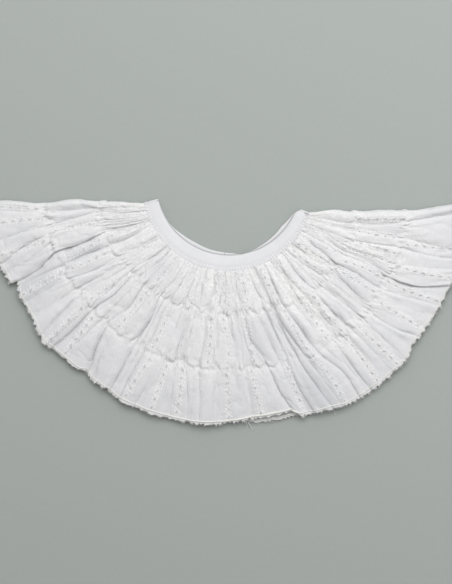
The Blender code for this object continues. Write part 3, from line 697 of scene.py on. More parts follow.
def crease_heights(level, crowns):
    """Height of the cloth at the left fold, every crease and the right fold."""
    heights = [valley(level)]
    for i, crease in enumerate(CREASES):
        left_standing = (1 - crease_depth(crease, level)) * min(crowns[i], crowns[i + 1])
        heights.append(valley(level) + left_standing)
    heights.append(valley(level))
    return heights


def column_counts():
    """Number of columns in each puff, from its width towards the hem."""
    turns = crease_turns(CUT_LEVEL)
    reach = reach_at(CUT_LEVEL, 0.5)
    counts = []
    for low, high in zip(turns, turns[1:]):
        width = (high - low) / turn_per_mm((low + high) / 2, reach)
        counts.append(max(round(width / COLUMN_PITCH), LEAST_COLUMNS))
    return counts


def smooth_run(values, steps):
    """A smooth curve through values, with the same number of steps between each pair."""
    padded = [values[0], *values, values[-1]]
    shares = np.arange(steps) / steps
    run = [curve_share(*four, shares) for four in zip(padded, padded[1:], padded[2:], padded[3:])]
    return np.concatenate(run + [[values[-1]]])


# Columns along one level: turn, shift along the arc, height, and whether they belong to the upper cloth
# left of the large overlap.
Section = namedtuple("Section", "turn shift height upper")


def fold_line(overlap, level, room):
    """Shift and rise of the S of cloth at an overlap, and the same at its two ends."""
    over = max(along_stations(overlap.over, level), 0.0)
    folded = min(over / (2 * LAYER_STEP), 1.0)
    first = next(i for i, mm in enumerate(overlap.over) if mm > 0) / 2
    lift = min(max((level - first + FOLD_LEAD) / FOLD_EASE, 0.0), 1.0)
    spacing = min(FOLD_SPACING, room / (2 * len(FOLD_SPOTS)))
    shifts, rises = [], []
    for i, spot in enumerate(FOLD_SPOTS):
        spread = spacing * (i - (len(FOLD_SPOTS) - 1) / 2)
        laid = over * spot.overhang + LAYER_STEP * spot.steps
        shifts.append(spread * (1 - folded) + laid * folded)
        rises.append((spot.steep * (1 - folded) + spot.stacked * folded) * LAYER_STEP * lift)
    shifts = smooth_run([overlap.side * shift for shift in shifts], FOLD_STEPS)
    rises = smooth_run(rises, FOLD_STEPS)
    if overlap.side < 0:
        return shifts[::-1], rises[::-1]
    return shifts, rises


def puff_line(count, width, under, heights):
    """Places in mm across one puff and their heights, flat where it lies under an overlap."""
    start, top, end = heights
    low, high = (mm + UNDER_MARGIN if mm else 0.0 for mm in under)
    shares = np.arange(count) / count
    shares = shares - COLUMN_CROWDING * np.sin(2 * np.pi * shares)
    places = width * shares
    shares = np.clip((places - low) / (width - low - high), 0.0, 1.0)
    return places, blend(blend(start, end, shares), top, crown(shares, width - low - high))


def shoulder_line(foot, top):
    """A shoulder fold's puff from under the fold to its crease: shift, share of the puff, height."""
    run = np.linspace(BEND_RUN, 0.0, 4)[:-1]
    bend = np.radians(np.linspace(-90, 0, BEND_COLUMNS + 1))[:-1]
    rise = np.radians(np.linspace(0, 90, EDGE_COLUMNS + 1))[:-1]
    fall = np.linspace(0, math.pi / 2, EDGE_COLUMNS + 1)
    shift = np.concatenate([BEND_DEPTH + run, BEND_DEPTH * (1 - np.cos(bend)), 0 * rise, 0 * fall])
    risen, fallen = EDGE_ROUND * (1 - np.cos(rise)), EDGE_ROUND + (1 - EDGE_ROUND) * fall / (math.pi / 2)
    share = np.concatenate([0 * run, 0 * bend, risen, fallen])
    below, above = FOLD_SPLIT - LOWEST, top - FOLD_SPLIT
    heights = [0 * run + LOWEST, FOLD_SPLIT + below * np.sin(bend), FOLD_SPLIT + above * np.sin(rise)]
    return shift, share, np.concatenate([*heights, blend(foot, top, np.cos(fall))])


def shoulder_columns(edge, inner, foot, top, side):
    """Columns of a shoulder fold's puff: turn, shift, height. The side is 1 for the left fold, and then
    the last column is left out, since the next puff starts with it."""
    shift, share, height = shoulder_line(foot, top)
    kept = slice(None, -1) if side > 0 else slice(None, None, -1)
    return blend(edge, inner, share)[kept], (side * shift)[kept], height[kept]


def frill_section(level, counts):
    """All columns of the front frill along one level, from under one fold to under the other."""
    turns = crease_turns(level)
    per_mm = [turn_per_mm(turn, reach_at(level, 0.5)) for turn in turns]
    widths = [(high - low) / mm for low, high, mm in zip(turns, turns[1:], per_mm)]
    crowns = [puff_height(i, width, level) for i, width in enumerate(widths)]
    heights = crease_heights(level, crowns)
    tops = [valley(level) + rise for rise in crowns]
    folds = {}
    for overlap in OVERLAPS:
        at = overlap.crease + 1
        shifts, rises = fold_line(overlap, level, min(widths[at - 1], widths[at]))
        folds[at] = (shifts, heights[at] + rises, overlap.side)
    parts = [shoulder_columns(turns[0], turns[1], heights[1], tops[0], 1)]
    placed = {}
    upper_until = 0
    for i, count in list(enumerate(counts))[1:-1]:
        low, high = turns[i], turns[i + 1]
        start, end = heights[i], heights[i + 1]
        under = [0.0, 0.0]
        if i in folds:
            shifts, line, side = folds[i]
            placed[i] = sum(len(part[0]) for part in parts)
            parts.append((np.full(len(shifts), low), shifts, line))
            if i == UPPER_HEM_CREASE + 1:
                upper_until = placed[i] + len(shifts) - FOLD_STEPS - 1
            low, start = low + shifts[-1] * per_mm[i], line[-1]
            under[0] = max(-shifts[-1], LEAST_UNDER) if side > 0 else 0.0
        if i + 1 in folds:
            shifts, line, side = folds[i + 1]
            high, end = high + shifts[0] * per_mm[i + 1], line[0]
            under[1] = max(shifts[0], LEAST_UNDER) if side < 0 else 0.0
        width = (high - low) / per_mm[i]
        places, line = puff_line(count, width, under, (start, max(tops[i], start, end), end))
        skip = 1 if i in folds else 0
        parts.append((low + places[skip:] * per_mm[i], 0 * places[skip:], line[skip:]))
    parts.append(shoulder_columns(turns[-1], turns[-2], heights[-2], tops[-1], -1))
    turn, shift, height = (np.concatenate(part) for part in zip(*parts))
    for at, first in placed.items():
        rest_on_fold(turn, shift, height, first, per_mm[at], folds[at][2])
    return Section(turn, shift, height, np.arange(len(turn)) < upper_until)


def rest_on_fold(turn, shift, height, first, per_mm, side):
    """Keep the cloth that leads into an overlap's top layer above the layers that lie under it."""
    last = first + (len(FOLD_SPOTS) - 1) * FOLD_STEPS
    upper, inner = (first, last - FOLD_STEPS) if side > 0 else (last, first + FOLD_STEPS)
    if height[upper] - height[inner] < 2 * LAYER_STEP:
        return
    span = slice(0, first) if side > 0 else slice(last + 1, None)
    past = side * ((turn[first] - turn[span]) / per_mm + shift[inner])
    drop = np.maximum(past - STACK_MARGIN, 0.0)
    least = height[upper] - drop * drop / (drop + STACK_EASE)
    standing = shift[span] == 0
    height[span] = np.where(standing, np.maximum(height[span], least), height[span])


def band_levels(band):
    """Levels of a band's rows, closest together at its two shirring rows."""
    share = np.linspace(0, 1, ROWS_A_BAND[band] + 1)
    return band + share - ROW_CROWDING * np.sin(2 * np.pi * share) / (2 * np.pi) * 2


# ---------------------------------------------------------------- surface detail


def upward_normals(points):
    """Unit normals of a grid whose columns run left to right and rows run outward."""
    normals = np.cross(np.gradient(points, axis=0), np.gradient(points, axis=1))
    return normals / np.maximum(np.linalg.norm(normals, axis=2, keepdims=True), 1e-9)


def from_centre(points):
    """Each point's way out from the fan's centre, in plan."""
    return points[..., :2] - np.array(FAN_CENTRE)


def row_distance(points, levels, row):
    """Distance of each row of points from a shirring row or the neck seam, in mm."""
    radius = np.linalg.norm(from_centre(points), axis=2)
    return radius - radius[nearest(levels, row)]


def cloth_noise(u, v, seed):
    """Smooth noise from -1 to 1 over flat coordinates, with one draw to a unit square."""
    draws = np.random.default_rng(seed).uniform(-1, 1, (NOISE_CELLS, NOISE_CELLS))
    u, v = np.broadcast_arrays(u, v)
    low_u, low_v = np.floor(u).astype(int), np.floor(v).astype(int)
    share_u, share_v = eased(u - low_u), eased(v - low_v)

    def row_at(step):
        start, end = (draws[(low_u + i) % NOISE_CELLS, (low_v + step) % NOISE_CELLS] for i in (0, 1))
        return start * (1 - share_u) + end * share_u

    return row_at(0) * (1 - share_v) + row_at(1) * share_v


def add_relief(points, levels):
    """Creases, ripples and puckers of the cloth, each on its own share of the bands."""
    cut = nearest(levels, CUT_LEVEL)
    along = run_lengths(points)[cut][None, :]
    outward = np.linalg.norm(from_centre(points), axis=2)
    rise = np.zeros(points.shape[:2])
    (across, out, far), (side_across, side_out, side_far) = WANDER
    wander = far * cloth_noise(along / across, outward / out, WANDER_SEED)
    outward = outward + side_far * cloth_noise(along / side_across, outward / side_out, WANDER_SEED + 1)
    along = along + wander
    for relief in RELIEFS:
        slanted = along / relief.across + outward * relief.slant
        noise = cloth_noise(slanted, outward / relief.out, relief.seed)
        if relief.sharp:
            noise = SHARP_MIDDLE - (1 - np.minimum(abs(noise) / relief.sharp, 1.0)) ** 2
        if relief.level is not None:
            noise = noise * bell(row_distance(points, levels, relief.level), relief.reach)
        rise += relief.height * noise
    steps = np.linalg.norm(np.gradient(points, axis=1), axis=2)
    loose = steps / steps[cut] / RELIEF_LOOSE
    return points + upward_normals(points) * (rise * np.minimum(loose, 1.0))[:, :, None]


def scallop_rows(points, levels):
    """Let each puff's rounded end reach past its shirring row, unevenly, with the row drawn in beside
    the creases."""
    points = points.copy()
    along = run_lengths(points)[nearest(levels, CUT_LEVEL)]
    for level in (1, 2):
        row = points[nearest(levels, level - SCALLOP_LEVEL)]
        lobe = 1 - np.sqrt(1 - np.clip((row[:, 2] - VALLEY_LEVEL) / PUFF_RISE[level - 1], 0.0, 1.0))
        uneven = cloth_noise(along / SCALLOP_PITCH, 0.0, SCALLOP_SEED + level)
        shift = SCALLOP_OUT * (lobe - SCALLOP_MIDDLE) + SCALLOP_UNEVEN * uneven
        away = row_distance(points, levels, level)
        points[:, :, :2] += unit(from_centre(points)) * (shift * bell(away, SCALLOP_REACH))[:, :, None]
        step = -np.tanh(away / SCALLOP_EDGE) * bell(away, SCALLOP_STEP_REACH)
        points[:, :, 2] += SCALLOP_STEP * (lobe + SCALLOP_STEP_UNEVEN * uneven) * step
    return points


def add_wrinkles(points):
    """Troughs and ridges laid one by one along straight runs of the fan."""
    flat = points[:, :, :2]
    rise = np.zeros(points.shape[:2])
    for line in WRINKLES:
        start = fan_place(line.turn / 1000, line.reach / 1000)[:2]
        run = fan_place(line.to_turn / 1000, line.to_reach / 1000)[:2] - start
        share = np.clip(((flat - start) @ run) / (run @ run), 0.0, 1.0)
        away = np.linalg.norm(flat - start - share[:, :, None] * run, axis=2)
        ends = np.clip(np.minimum(share, 1 - share) * WRINKLE_END_EASE + line.open_ends, 0, 1)
        rise += line.rise * bell(away, blend(line.width, line.to_width, share)) * ends
    points = points.copy()
    points[:, :, 2] = np.maximum(points[:, :, 2] + rise, np.minimum(points[:, :, 2], WRINKLE_FLOOR))
    return points


def add_ragged_hem(points):
    """The raw hem's uneven outline, in the last rows only."""
    along = run_lengths(points)[-1] / TUFT_PITCH
    threads = np.random.default_rng(HEM_SEED).uniform(-1, 1, points.shape[1])
    share, fine = TUFTS_MORE
    tufts = cloth_noise(along, 0.0, HEM_SEED) + share * cloth_noise(along * fine, 0.0, HEM_SEED + 1)
    out = HEM_RAGGED * (tufts + TUFT_THREADS * threads)
    points = points.copy()
    way = unit(from_centre(points[-1]))
    for row, share in ((-1, 1.0), (-2, HEM_ROW_BEFORE)):
        points[row, :, :2] += way * (out * share)[:, None]
    return points


def close_neck_seam(points, levels):
    """Draw the gathers' ends down to the neckband, so that they close against it."""
    away = np.maximum(row_distance(points, levels, 0), 0.0)
    top = NECK_SEAM_TOP + NECK_SEAM_RISE * np.sqrt(away / NECK_SEAM_REACH)
    points = points.copy()
    points[:, :, 2] = np.clip(points[:, :, 2], LOWEST, np.maximum(top, LOWEST))
    return points


# ---------------------------------------------------------------- meshes


def corners_of(grid):
    """The four corners of every face of a grid, in order as seen from above."""
    return np.stack((grid[:-1, :-1], grid[1:, :-1], grid[1:, 1:], grid[:-1, 1:]), axis=-1).reshape(-1, 4)


def grid_mesh(name, points, coordinates, wrap=False, white=None):
    """A mesh from a grid of points in mm, with its cloth coordinates in metres as a UV map and how white
    the cloth is, painted light and shade included, as an attribute.

    A wrapped grid is a tube: its last column joins its first, and its coordinates have a column more.
    """
    mesh = bpy.data.meshes.new(name)
    index = np.arange(points.shape[0] * points.shape[1]).reshape(points.shape[:2])
    if wrap:
        index = np.concatenate([index, index[:, :1]], axis=1)
    spots = np.arange(index.size).reshape(index.shape)
    mesh.from_pydata((points.reshape(-1, 3) * MM).tolist(), [], corners_of(index).tolist())
    layer = mesh.uv_layers.new(name="cloth")
    layer.data.foreach_set("uv", (coordinates.reshape(-1, 2)[corners_of(spots).ravel()] * MM).ravel())
    if white is not None:
        mesh.attributes.new("white", "FLOAT", "POINT").data.foreach_set("value", white.ravel())
    mesh.shade_smooth()
    return mesh


def close_ends(mesh, rings, ring):
    """Cap the first and last ring of a tube, and turn its faces outwards."""
    shape = bmesh.new()
    shape.from_mesh(mesh)
    shape.verts.ensure_lookup_table()
    for first in (0, (rings - 1) * ring):
        shape.faces.new([shape.verts[first + i] for i in range(ring)])
    bmesh.ops.recalc_face_normals(shape, faces=shape.faces)
    shape.to_mesh(mesh)
    shape.free()


def cloth_shell(name, cloth, rows, thickness, material):
    """A closed thin shell of cloth round some rows of its middle surface."""
    parts = (cloth.points[rows], cloth.coordinates[rows])
    middle = add_object(name + "_middle", grid_mesh(name + "_middle", *parts, white=cloth.white[rows]))
    wall = middle.modifiers.new("wall", "SOLIDIFY")
    wall.thickness = thickness
    wall.offset = 0.0
    shell = plain_copy(name, middle)
    shell.data.set_sharp_from_angle(angle=SHELL_CORNER)
    shell.data.materials.clear()
    shell.data.materials.append(material)
    remove_object(middle)
    return shell


def add_object(name, data):
    piece = bpy.data.objects.new(name, data)
    bpy.context.scene.collection.objects.link(piece)
    return piece


def remove_object(piece):
    mesh = piece.data
    bpy.data.objects.remove(piece, do_unlink=True)
    bpy.data.meshes.remove(mesh)


def plain_copy(name, source):
    """The object as its modifiers make it, as a plain mesh of its own."""
    evaluated = source.evaluated_get(bpy.context.evaluated_depsgraph_get())
    mesh = bpy.data.meshes.new_from_object(evaluated)
    mesh.name = name
    return add_object(name, mesh)


# ---------------------------------------------------------------- node trees


def feed(tree, made, inputs):
    """Set a node's inputs, each to a value or to the socket that feeds it."""
    for key, value in inputs.items():
        if isinstance(value, bpy.types.NodeSocket):
            tree.links.new(value, made.inputs[key])
        else:
            made.inputs[key].default_value = value


def outputs(tree, kind, inputs=None, **settings):
    """The outputs of a new node."""
    made = tree.nodes.new(kind)
    for key, value in settings.items():
        setattr(made, key, value)
    feed(tree, made, inputs or {})
    return made.outputs


def node(tree, kind, inputs=None, **settings):
    """The first output of a new node."""
    return outputs(tree, kind, inputs, **settings)[0]


def number(tree, operation, *numbers):
    """A sum or the like of one or two numbers."""
    return node(tree, "ShaderNodeMath", dict(enumerate(numbers)), operation=operation)


def combined(tree, x, y, z):
    return node(tree, "ShaderNodeCombineXYZ", {0: x, 1: y, 2: z})


def scaled(tree, vector, by):
    return node(tree, "ShaderNodeVectorMath", {0: vector, 3: by}, operation="SCALE")


def drawn_number(tree, low, high, seed):
    """A number drawn for each point."""
    return outputs(tree, "FunctionNodeRandomValue", {2: low, 3: high, "Seed": seed})[1]


def spread(tree, value, *limits):
    """A value mapped, within limits: from its low and high to the new low and high."""
    return node(tree, "ShaderNodeMapRange", dict(enumerate((value, *limits))))


def noise(tree, place, scale, detail, distortion=0.0):
    """Noise from 0 to 1 in space, or over flat coordinates."""
    inputs = {"Vector": place, "Scale": scale, "Detail": detail, "Distortion": distortion}
    return node(tree, "ShaderNodeTexNoise", inputs)


def geometry_tree(name, sizes):
    """An empty Geometry Nodes tree with named inputs: sizes maps a name to a number."""
    tree = bpy.data.node_groups.new(name, "GeometryNodeTree")
    face = tree.interface
    face.new_socket("Geometry", in_out="INPUT", socket_type="NodeSocketGeometry")
    for label, value in sizes.items():
        kind = "NodeSocketInt" if isinstance(value, int) else "NodeSocketFloat"
        face.new_socket(label, in_out="INPUT", socket_type=kind).default_value = value
    face.new_socket("Material", in_out="INPUT", socket_type="NodeSocketMaterial")
    face.new_socket("Geometry", in_out="OUTPUT", socket_type="NodeSocketGeometry")
    return tree, tree.nodes.new("NodeGroupInput").outputs


def end_tree(tree, geometry, given):
    """Close a tree: real geometry, its material, the output."""
    real = node(tree, "GeometryNodeRealizeInstances", {0: geometry})
    smooth = node(tree, "GeometryNodeSetShadeSmooth", {0: real})
    painted = node(tree, "GeometryNodeSetMaterial", {0: smooth, "Material": given["Material"]})
    feed(tree, tree.nodes.new("NodeGroupOutput"), {0: painted})
    return tree


def grow(name, source, tree, sizes, material):
    """The plain mesh that a tree makes from a source object, which is then removed."""
    modifier = source.modifiers.new("nodes", "NODES")
    modifier.node_group = tree
    values = sizes | {"Material": material}
    for socket in tree.interface.items_tree:
        if socket.in_out == "INPUT" and socket.name in values:
            modifier[socket.identifier] = values[socket.name]
    source.update_tag()
    piece = plain_copy(name, source)
    remove_object(source)
    return piece


def named_vector(tree, name):
    return node(tree, "GeometryNodeInputNamedAttribute", {"Name": name}, data_type="FLOAT_VECTOR")


def circle(tree, sides, radius):
    return node(tree, "GeometryNodeCurvePrimitiveCircle", {"Resolution": sides, "Radius": radius})


def points_along(tree, given):
    """Points at the given pitch along the input's paths, with the tangent there."""
    curve = node(tree, "GeometryNodeMeshToCurve", {0: given["Geometry"]})
    inputs = {0: curve, "Length": given["Pitch"]}
    made = outputs(tree, "GeometryNodeCurveToPoints", inputs, mode="LENGTH")
    return made["Points"], made["Tangent"]


def zigzag(tree, angle):
    """An angle to one side on even points and to the other on odd ones."""
    odd = number(tree, "MODULO", node(tree, "GeometryNodeInputIndex"), 2.0)
    side = number(tree, "SUBTRACT", number(tree, "MULTIPLY", odd, 2.0), 1.0)
    return number(tree, "MULTIPLY", side, angle)


def turned(tree, axes, first, second, turn):
    """A rotation with two axes, such as ZX, along two directions, turned further in its own axes."""
    settings = {"primary_axis": axes[0], "secondary_axis": axes[1]}
    aim = node(tree, "FunctionNodeAxesToRotation", {0: first, 1: second}, **settings)
    angles = node(tree, "FunctionNodeEulerToRotation", {0: turn})
    return node(tree, "FunctionNodeRotateRotation", {0: aim, 1: angles}, rotation_space="LOCAL")


def copies(tree, points, shape, rotation, scale):
    """A copy of a shape on every point."""
    inputs = {0: points, "Instance": shape, "Rotation": rotation, "Scale": scale}
    return node(tree, "GeometryNodeInstanceOnPoints", inputs)


def lay_flat(tree, given, points, along, shape, lean, loose, scale):
    """Close a tree with copies of a shape laid flat on the cloth, along a direction. They lean by an
    angle and, at random, by up to a loose one to either side."""
    up = named_vector(tree, "up")
    offset = scaled(tree, up, given["Lift"])
    points = node(tree, "GeometryNodeSetPosition", {0: points, "Offset": offset})
    lean = number(tree, "ADD", lean, drawn_number(tree, -loose, loose, given["Seed"]))
    aim = turned(tree, "ZX", up, along, combined(tree, 0.0, 0.0, lean))
    return end_tree(tree, copies(tree, points, shape, aim, scale), given)


def thread_tree():
    """A thread along each path of the input, fuller where the path says so."""
    tree, given = geometry_tree("Thread along a path", {"Radius": 0.0004, "Sides": 6})
    curve = node(tree, "GeometryNodeMeshToCurve", {0: given["Geometry"]})
    fuller = node(tree, "ShaderNodeSeparateXYZ", {0: named_vector(tree, "fuller")})
    inputs = {0: curve, 1: circle(tree, given["Sides"], given["Radius"])}
    inputs |= {"Scale": number(tree, "ADD", fuller, 1.0), "Fill Caps": True}
    return end_tree(tree, node(tree, "GeometryNodeCurveToMesh", inputs), given)


def stitch_tree(on_path=True):
    """Short rounded stitches, slanted in turn to either side: at a pitch along each path, or one on
    every point given."""
    sizes = {"Pitch": 0.0027, "Length": 0.0015, "Thickness": 0.0004, "Lift": 0.0001, "Slant": 0.0}
    sizes |= {"Zigzag": 0.0, "Seed": 1}
    tree, given = geometry_tree("Stitches on a path" if on_path else "Stitches on points", sizes)
    if on_path:
        points, tangent = points_along(tree, given)
    else:
        points, tangent = given["Geometry"], named_vector(tree, "along")
    size = combined(tree, given["Length"], given["Thickness"], given["Thickness"])
    ball = node(tree, "GeometryNodeMeshUVSphere", {"Segments": 6, "Rings": 5, "Radius": 0.5})
    stitch = node(tree, "GeometryNodeTransform", {0: ball, "Scale": size})
    slant = number(tree, "ADD", given["Slant"], zigzag(tree, given["Zigzag"]))
    scale = drawn_number(tree, *STITCH_SCALES, given["Seed"])
    return lay_flat(tree, given, points, tangent, stitch, slant, STITCH_LOOSE, scale)


def eyelet_tree(rim):
    """A slit on every point given: its whipped rim, or a flat disc of painted shade inside it, for the
    shaded cloth seen through it.
    """
    sizes = {"Length": 0.0026, "Width": 0.0013, "Thread": 0.0002, "Lift": 0.0001}
    sizes |= {"Zigzag": 0.2, "Seed": 1}
    tree, given = geometry_tree("Eyelet rims" if rim else "Eyelet gaps", sizes)
    half = [number(tree, "MULTIPLY", given[key], 0.5) for key in ("Length", "Width")]
    size = combined(tree, *half, 1.0)
    if rim:
        ring = node(tree, "GeometryNodeTransform", {0: circle(tree, 12, 1.0), "Scale": size})
        shape = node(tree, "GeometryNodeCurveToMesh", {0: ring, 1: circle(tree, 5, given["Thread"])})
    else:
        # A flat disc of painted shade.
        inputs = {"Vertices": 12, "Radius": 1.0, "Depth": given["Thread"]}
        disc = node(tree, "GeometryNodeMeshCylinder", inputs)
        shape = node(tree, "GeometryNodeTransform", {0: disc, "Scale": size})
    scale = drawn_number(tree, *SLIT_SCALES, given["Seed"])
    scale = scaled(tree, named_vector(tree, "size"), scale)
    along, lean = named_vector(tree, "along"), zigzag(tree, given["Zigzag"])
    return lay_flat(tree, given, given["Geometry"], along, shape, lean, SLIT_LOOSE, scale)


def fray_tree():
    """Loose thread ends along a raw edge, longer and shorter by patches."""
    sizes = {"Pitch": 0.0003, "Longest": 0.003, "Thickness": 0.00018, "Patch": 0.003, "Droop": 0.4}
    sizes |= {"Seed": 3}
    tree, given = geometry_tree("Frayed edge", sizes)
    points = points_along(tree, given)[0]
    bend = node(tree, "GeometryNodeCurveQuadraticBezier", {"Resolution": 2} | FRAY_BEND)
    thickness = number(tree, "DIVIDE", given["Thickness"], given["Longest"])
    inputs = {0: bend, 1: circle(tree, 3, thickness), "Fill Caps": True}
    strand = node(tree, "GeometryNodeCurveToMesh", inputs)
    often = number(tree, "DIVIDE", 1.0, given["Patch"])
    patch = spread(tree, noise(tree, node(tree, "GeometryNodeInputPosition"), often, 1.0), *FRAY_PATCHES)
    loose = drawn_number(tree, FRAY_PATCHES[2], 1.0, given["Seed"])
    size = number(tree, "MULTIPLY", number(tree, "MULTIPLY", patch, loose), given["Longest"])
    least = combined(tree, *(-turn for turn in FRAY_TURNS))
    most = combined(tree, FRAY_TURNS[0], given["Droop"], FRAY_TURNS[2])
    inputs = {0: least, 1: most, "Seed": given["Seed"]}
    angle = node(tree, "FunctionNodeRandomValue", inputs, data_type="FLOAT_VECTOR")
    aim = turned(tree, "XZ", named_vector(tree, "out"), named_vector(tree, "up"), angle)
    return end_tree(tree, copies(tree, points, strand, aim, size), given)


# ---------------------------------------------------------------- paths on the cloth


def path_object(name, paths, joined=True):
    """Points in mm, joined along each path or left single, with the cloth's directions stored for the
    node trees.

    A path is a dict of equal arrays: "place" and directions such as "up", "out" and "along".
    """
    mesh = bpy.data.meshes.new(name)
    stored = {key: np.concatenate([path[key] for path in paths]) for key in paths[0]}
    ends = set(np.cumsum([len(path["place"]) for path in paths]) - 1)
    edges = [(i, i + 1) for i in range(len(stored["place"])) if i not in ends] if joined else []
    mesh.from_pydata((stored.pop("place") * MM).tolist(), edges, [])
    for key, vectors in stored.items():
        layer = mesh.attributes.new(key, "FLOAT_VECTOR", "POINT")
        layer.data.foreach_set("vector", vectors.ravel())
    return add_object(name, mesh)


# ---------------------------------------------------------------- materials


def new_material(name):
    """A material, its tree, its shader and the place on the piece."""
    material = bpy.data.materials.new(name)
    material.use_nodes = True
    tree = material.node_tree
    place = outputs(tree, "ShaderNodeTexCoord")["Object"]
    return material, tree, tree.nodes["Principled BSDF"], place


def mixed(tree, share, colour, shade, clamp=True):
    """A colour turning into its shade."""
    inputs = {0: share, 6: (*colour, 1.0), 7: (*shade, 1.0)}
    return outputs(tree, "ShaderNodeMix", inputs, data_type="RGBA", clamp_factor=clamp)[2]


def bumped(tree, height, strength, distance, **below):
    inputs = {"Height": height, "Strength": strength, "Distance": distance}
    return node(tree, "ShaderNodeBump", inputs | below)


def mapped_noise(tree, cloth, stretch, detail, distortion=0.0):
    """Noise over the flat cloth coordinates, with its scale across and along the cloth."""
    place = node(tree, "ShaderNodeMapping", {0: cloth, "Scale": (*stretch, 1.0)})
    return noise(tree, place, 1.0, detail, distortion)


def weave_height(tree, pitch, vector):
    """Over-and-under height of a plain weave of that pitch in metres, on flat cloth coordinates."""
    parts = outputs(tree, "ShaderNodeSeparateXYZ", {0: scaled(tree, vector, 1 / pitch)})
    angles = [number(tree, "MULTIPLY", part, 2 * math.pi) for part in (parts[0], parts[1])]
    return number(tree, "MULTIPLY", *(number(tree, "SINE", angle) for angle in angles))


def crumple(tree, place, cloth):
    """Height of fine crumples in washed cotton: round lumps, and longer ones that follow the gathers."""
    lumps = noise(tree, place, LUMP_SCALE, 3.0, 0.8)
    gathers = mapped_noise(tree, cloth, GATHER_SCALE, 3.0, 1.2)
    both = number(tree, "ADD", lumps, number(tree, "MULTIPLY", gathers, GATHER_SHARE))
    return number(tree, "SUBTRACT", both, (1 + GATHER_SHARE) / 2)


def cotton_material(name, colour, shade, pitch, weave=FRILL_WEAVE, striped=True):
    """Woven cotton: uneven white, a plain weave and fine slubs that follow the cloth. Striped cotton is
    whiter and grained along its openwork, and greyer between where it is thin; its white attribute brings
    painted light and shade, and its crumples get painted shade in their hollows and painted light on their
    tops."""
    material, tree, shader, place = new_material(name)
    cloth = node(tree, "ShaderNodeUVMap", uv_map="cloth")
    slubs = [mapped_noise(tree, cloth, stretch, 2.0) for stretch in (SLUB_SCALE, SLUB_SCALE[::-1])]
    slub = number(tree, "MULTIPLY", number(tree, "ADD", *slubs), 0.5)
    patches = spread(tree, noise(tree, place, PATCH_SCALE, 4.0), *PATCH_GREY)
    grey = number(tree, "MAXIMUM", patches, spread(tree, slub, *SLUB_GREY))
    slubs = number(tree, "MULTIPLY", slub, SLUB_SHARE)
    normal = bumped(tree, number(tree, "ADD", weave_height(tree, pitch, cloth), slubs), *weave)
    if striped:
        # The white attribute carries the cloth's whiteness with its painted light and shade.
        white = outputs(tree, "ShaderNodeAttribute", attribute_name="white")["Fac"]
        openwork = number(tree, "POWER", number(tree, "MAXIMUM", white, 0.0), 2.0)
        lumped = number(tree, "MULTIPLY", openwork, crumple(tree, place, cloth))
        # The lumps' share paints shade into the crumples' hollows and light onto their tops.
        parts = zip((grey, number(tree, "SUBTRACT", 1.0, white), lumped), STRIPED_GREY)
        uneven, thin_and_painted_shade, lumps = (number(tree, "MULTIPLY", part, share) for part, share in parts)
        grey = number(tree, "ADD", number(tree, "ADD", uneven, thin_and_painted_shade), EVEN_GREY)
        grey = number(tree, "MAXIMUM", number(tree, "ADD", grey, lumps), 0.0)
        normal = bumped(tree, lumped, *LUMP_RELIEF, Normal=normal)
    feed(
        tree,
        shader,
        {
            "Base Color": mixed(tree, grey, colour, shade, clamp=False),
            "Normal": normal,
            "Roughness": spread(tree, slub, 0.0, 1.0, *COTTON_ROUGHNESS),
            "Sheen Weight": 0.15,
            "Sheen Roughness": 0.5,
        },
    )
    return material


def thread_material(name, colour, shade):
    """Spun cotton thread: fine uneven colour and a fibrous surface."""
    material, tree, shader, place = new_material(name)
    fine = noise(tree, place, 900.0, 3.0)
    looks = {"Base Color": mixed(tree, fine, colour, shade), "Normal": bumped(tree, fine, 0.4, 0.0001)}
    feed(tree, shader, looks | {"Roughness": 0.8, "Sheen Weight": 0.2})
    return material


def floor_material(colour):
    """Plain pale matt board with a trace of tooth."""
    material, tree, shader, place = new_material("floor_board")
    darker = [part * FLOOR_TOOTH for part in colour]
    tooth = noise(tree, place, 220.0, 4.0)
    feed(tree, shader, {"Base Color": mixed(tree, tooth, colour, darker), "Roughness": 0.9})
    return material


# ---------------------------------------------------------------- cloth of the collar

# A made cloth: middle surface by row and column (mm), its unit normals, each row's level, the turn of
# each place, the flat cloth coordinates (mm), and how white it is from 0 to 1, painted light and shade
# included.
Cloth = namedtuple("Cloth", "points normals levels turns coordinates white")


def cloth_from(points, levels, turns):
    """A cloth, with all that follows from its middle surface."""
    cut = run_lengths(points)[nearest(levels, CUT_LEVEL)]
    steps = np.linalg.norm(np.diff(points, axis=0), axis=2).mean(axis=1)
    depth = np.concatenate([[0.0], np.cumsum(steps)])
    coordinates = np.stack(np.broadcast_arrays(cut[None, :], depth[:, None]), axis=-1)
    return Cloth(points, upward_normals(points), levels, turns, coordinates, cloth_white_and_painted_light(levels, turns))


def openwork_turns(line, levels, ends):
    """The rows of cloth that an openwork row crosses, each with the turn where it does."""
    low, high = line.band - 1 + ends, line.band - ends
    first, share = puff_share(line.start / 1000, low)
    last, end_share = puff_share(line.end / 1000, high)
    crossed = []
    for row in np.nonzero((levels >= low) & (levels <= high))[0]:
        f = (levels[row] - low) / (high - low)
        turn = blend(line.start, line.end, f) / 1000
        if first == last:
            turn = blend(*crease_turns(levels[row])[first : first + 2], blend(share, end_share, f))
        crossed.append((row, turn))
    return crossed


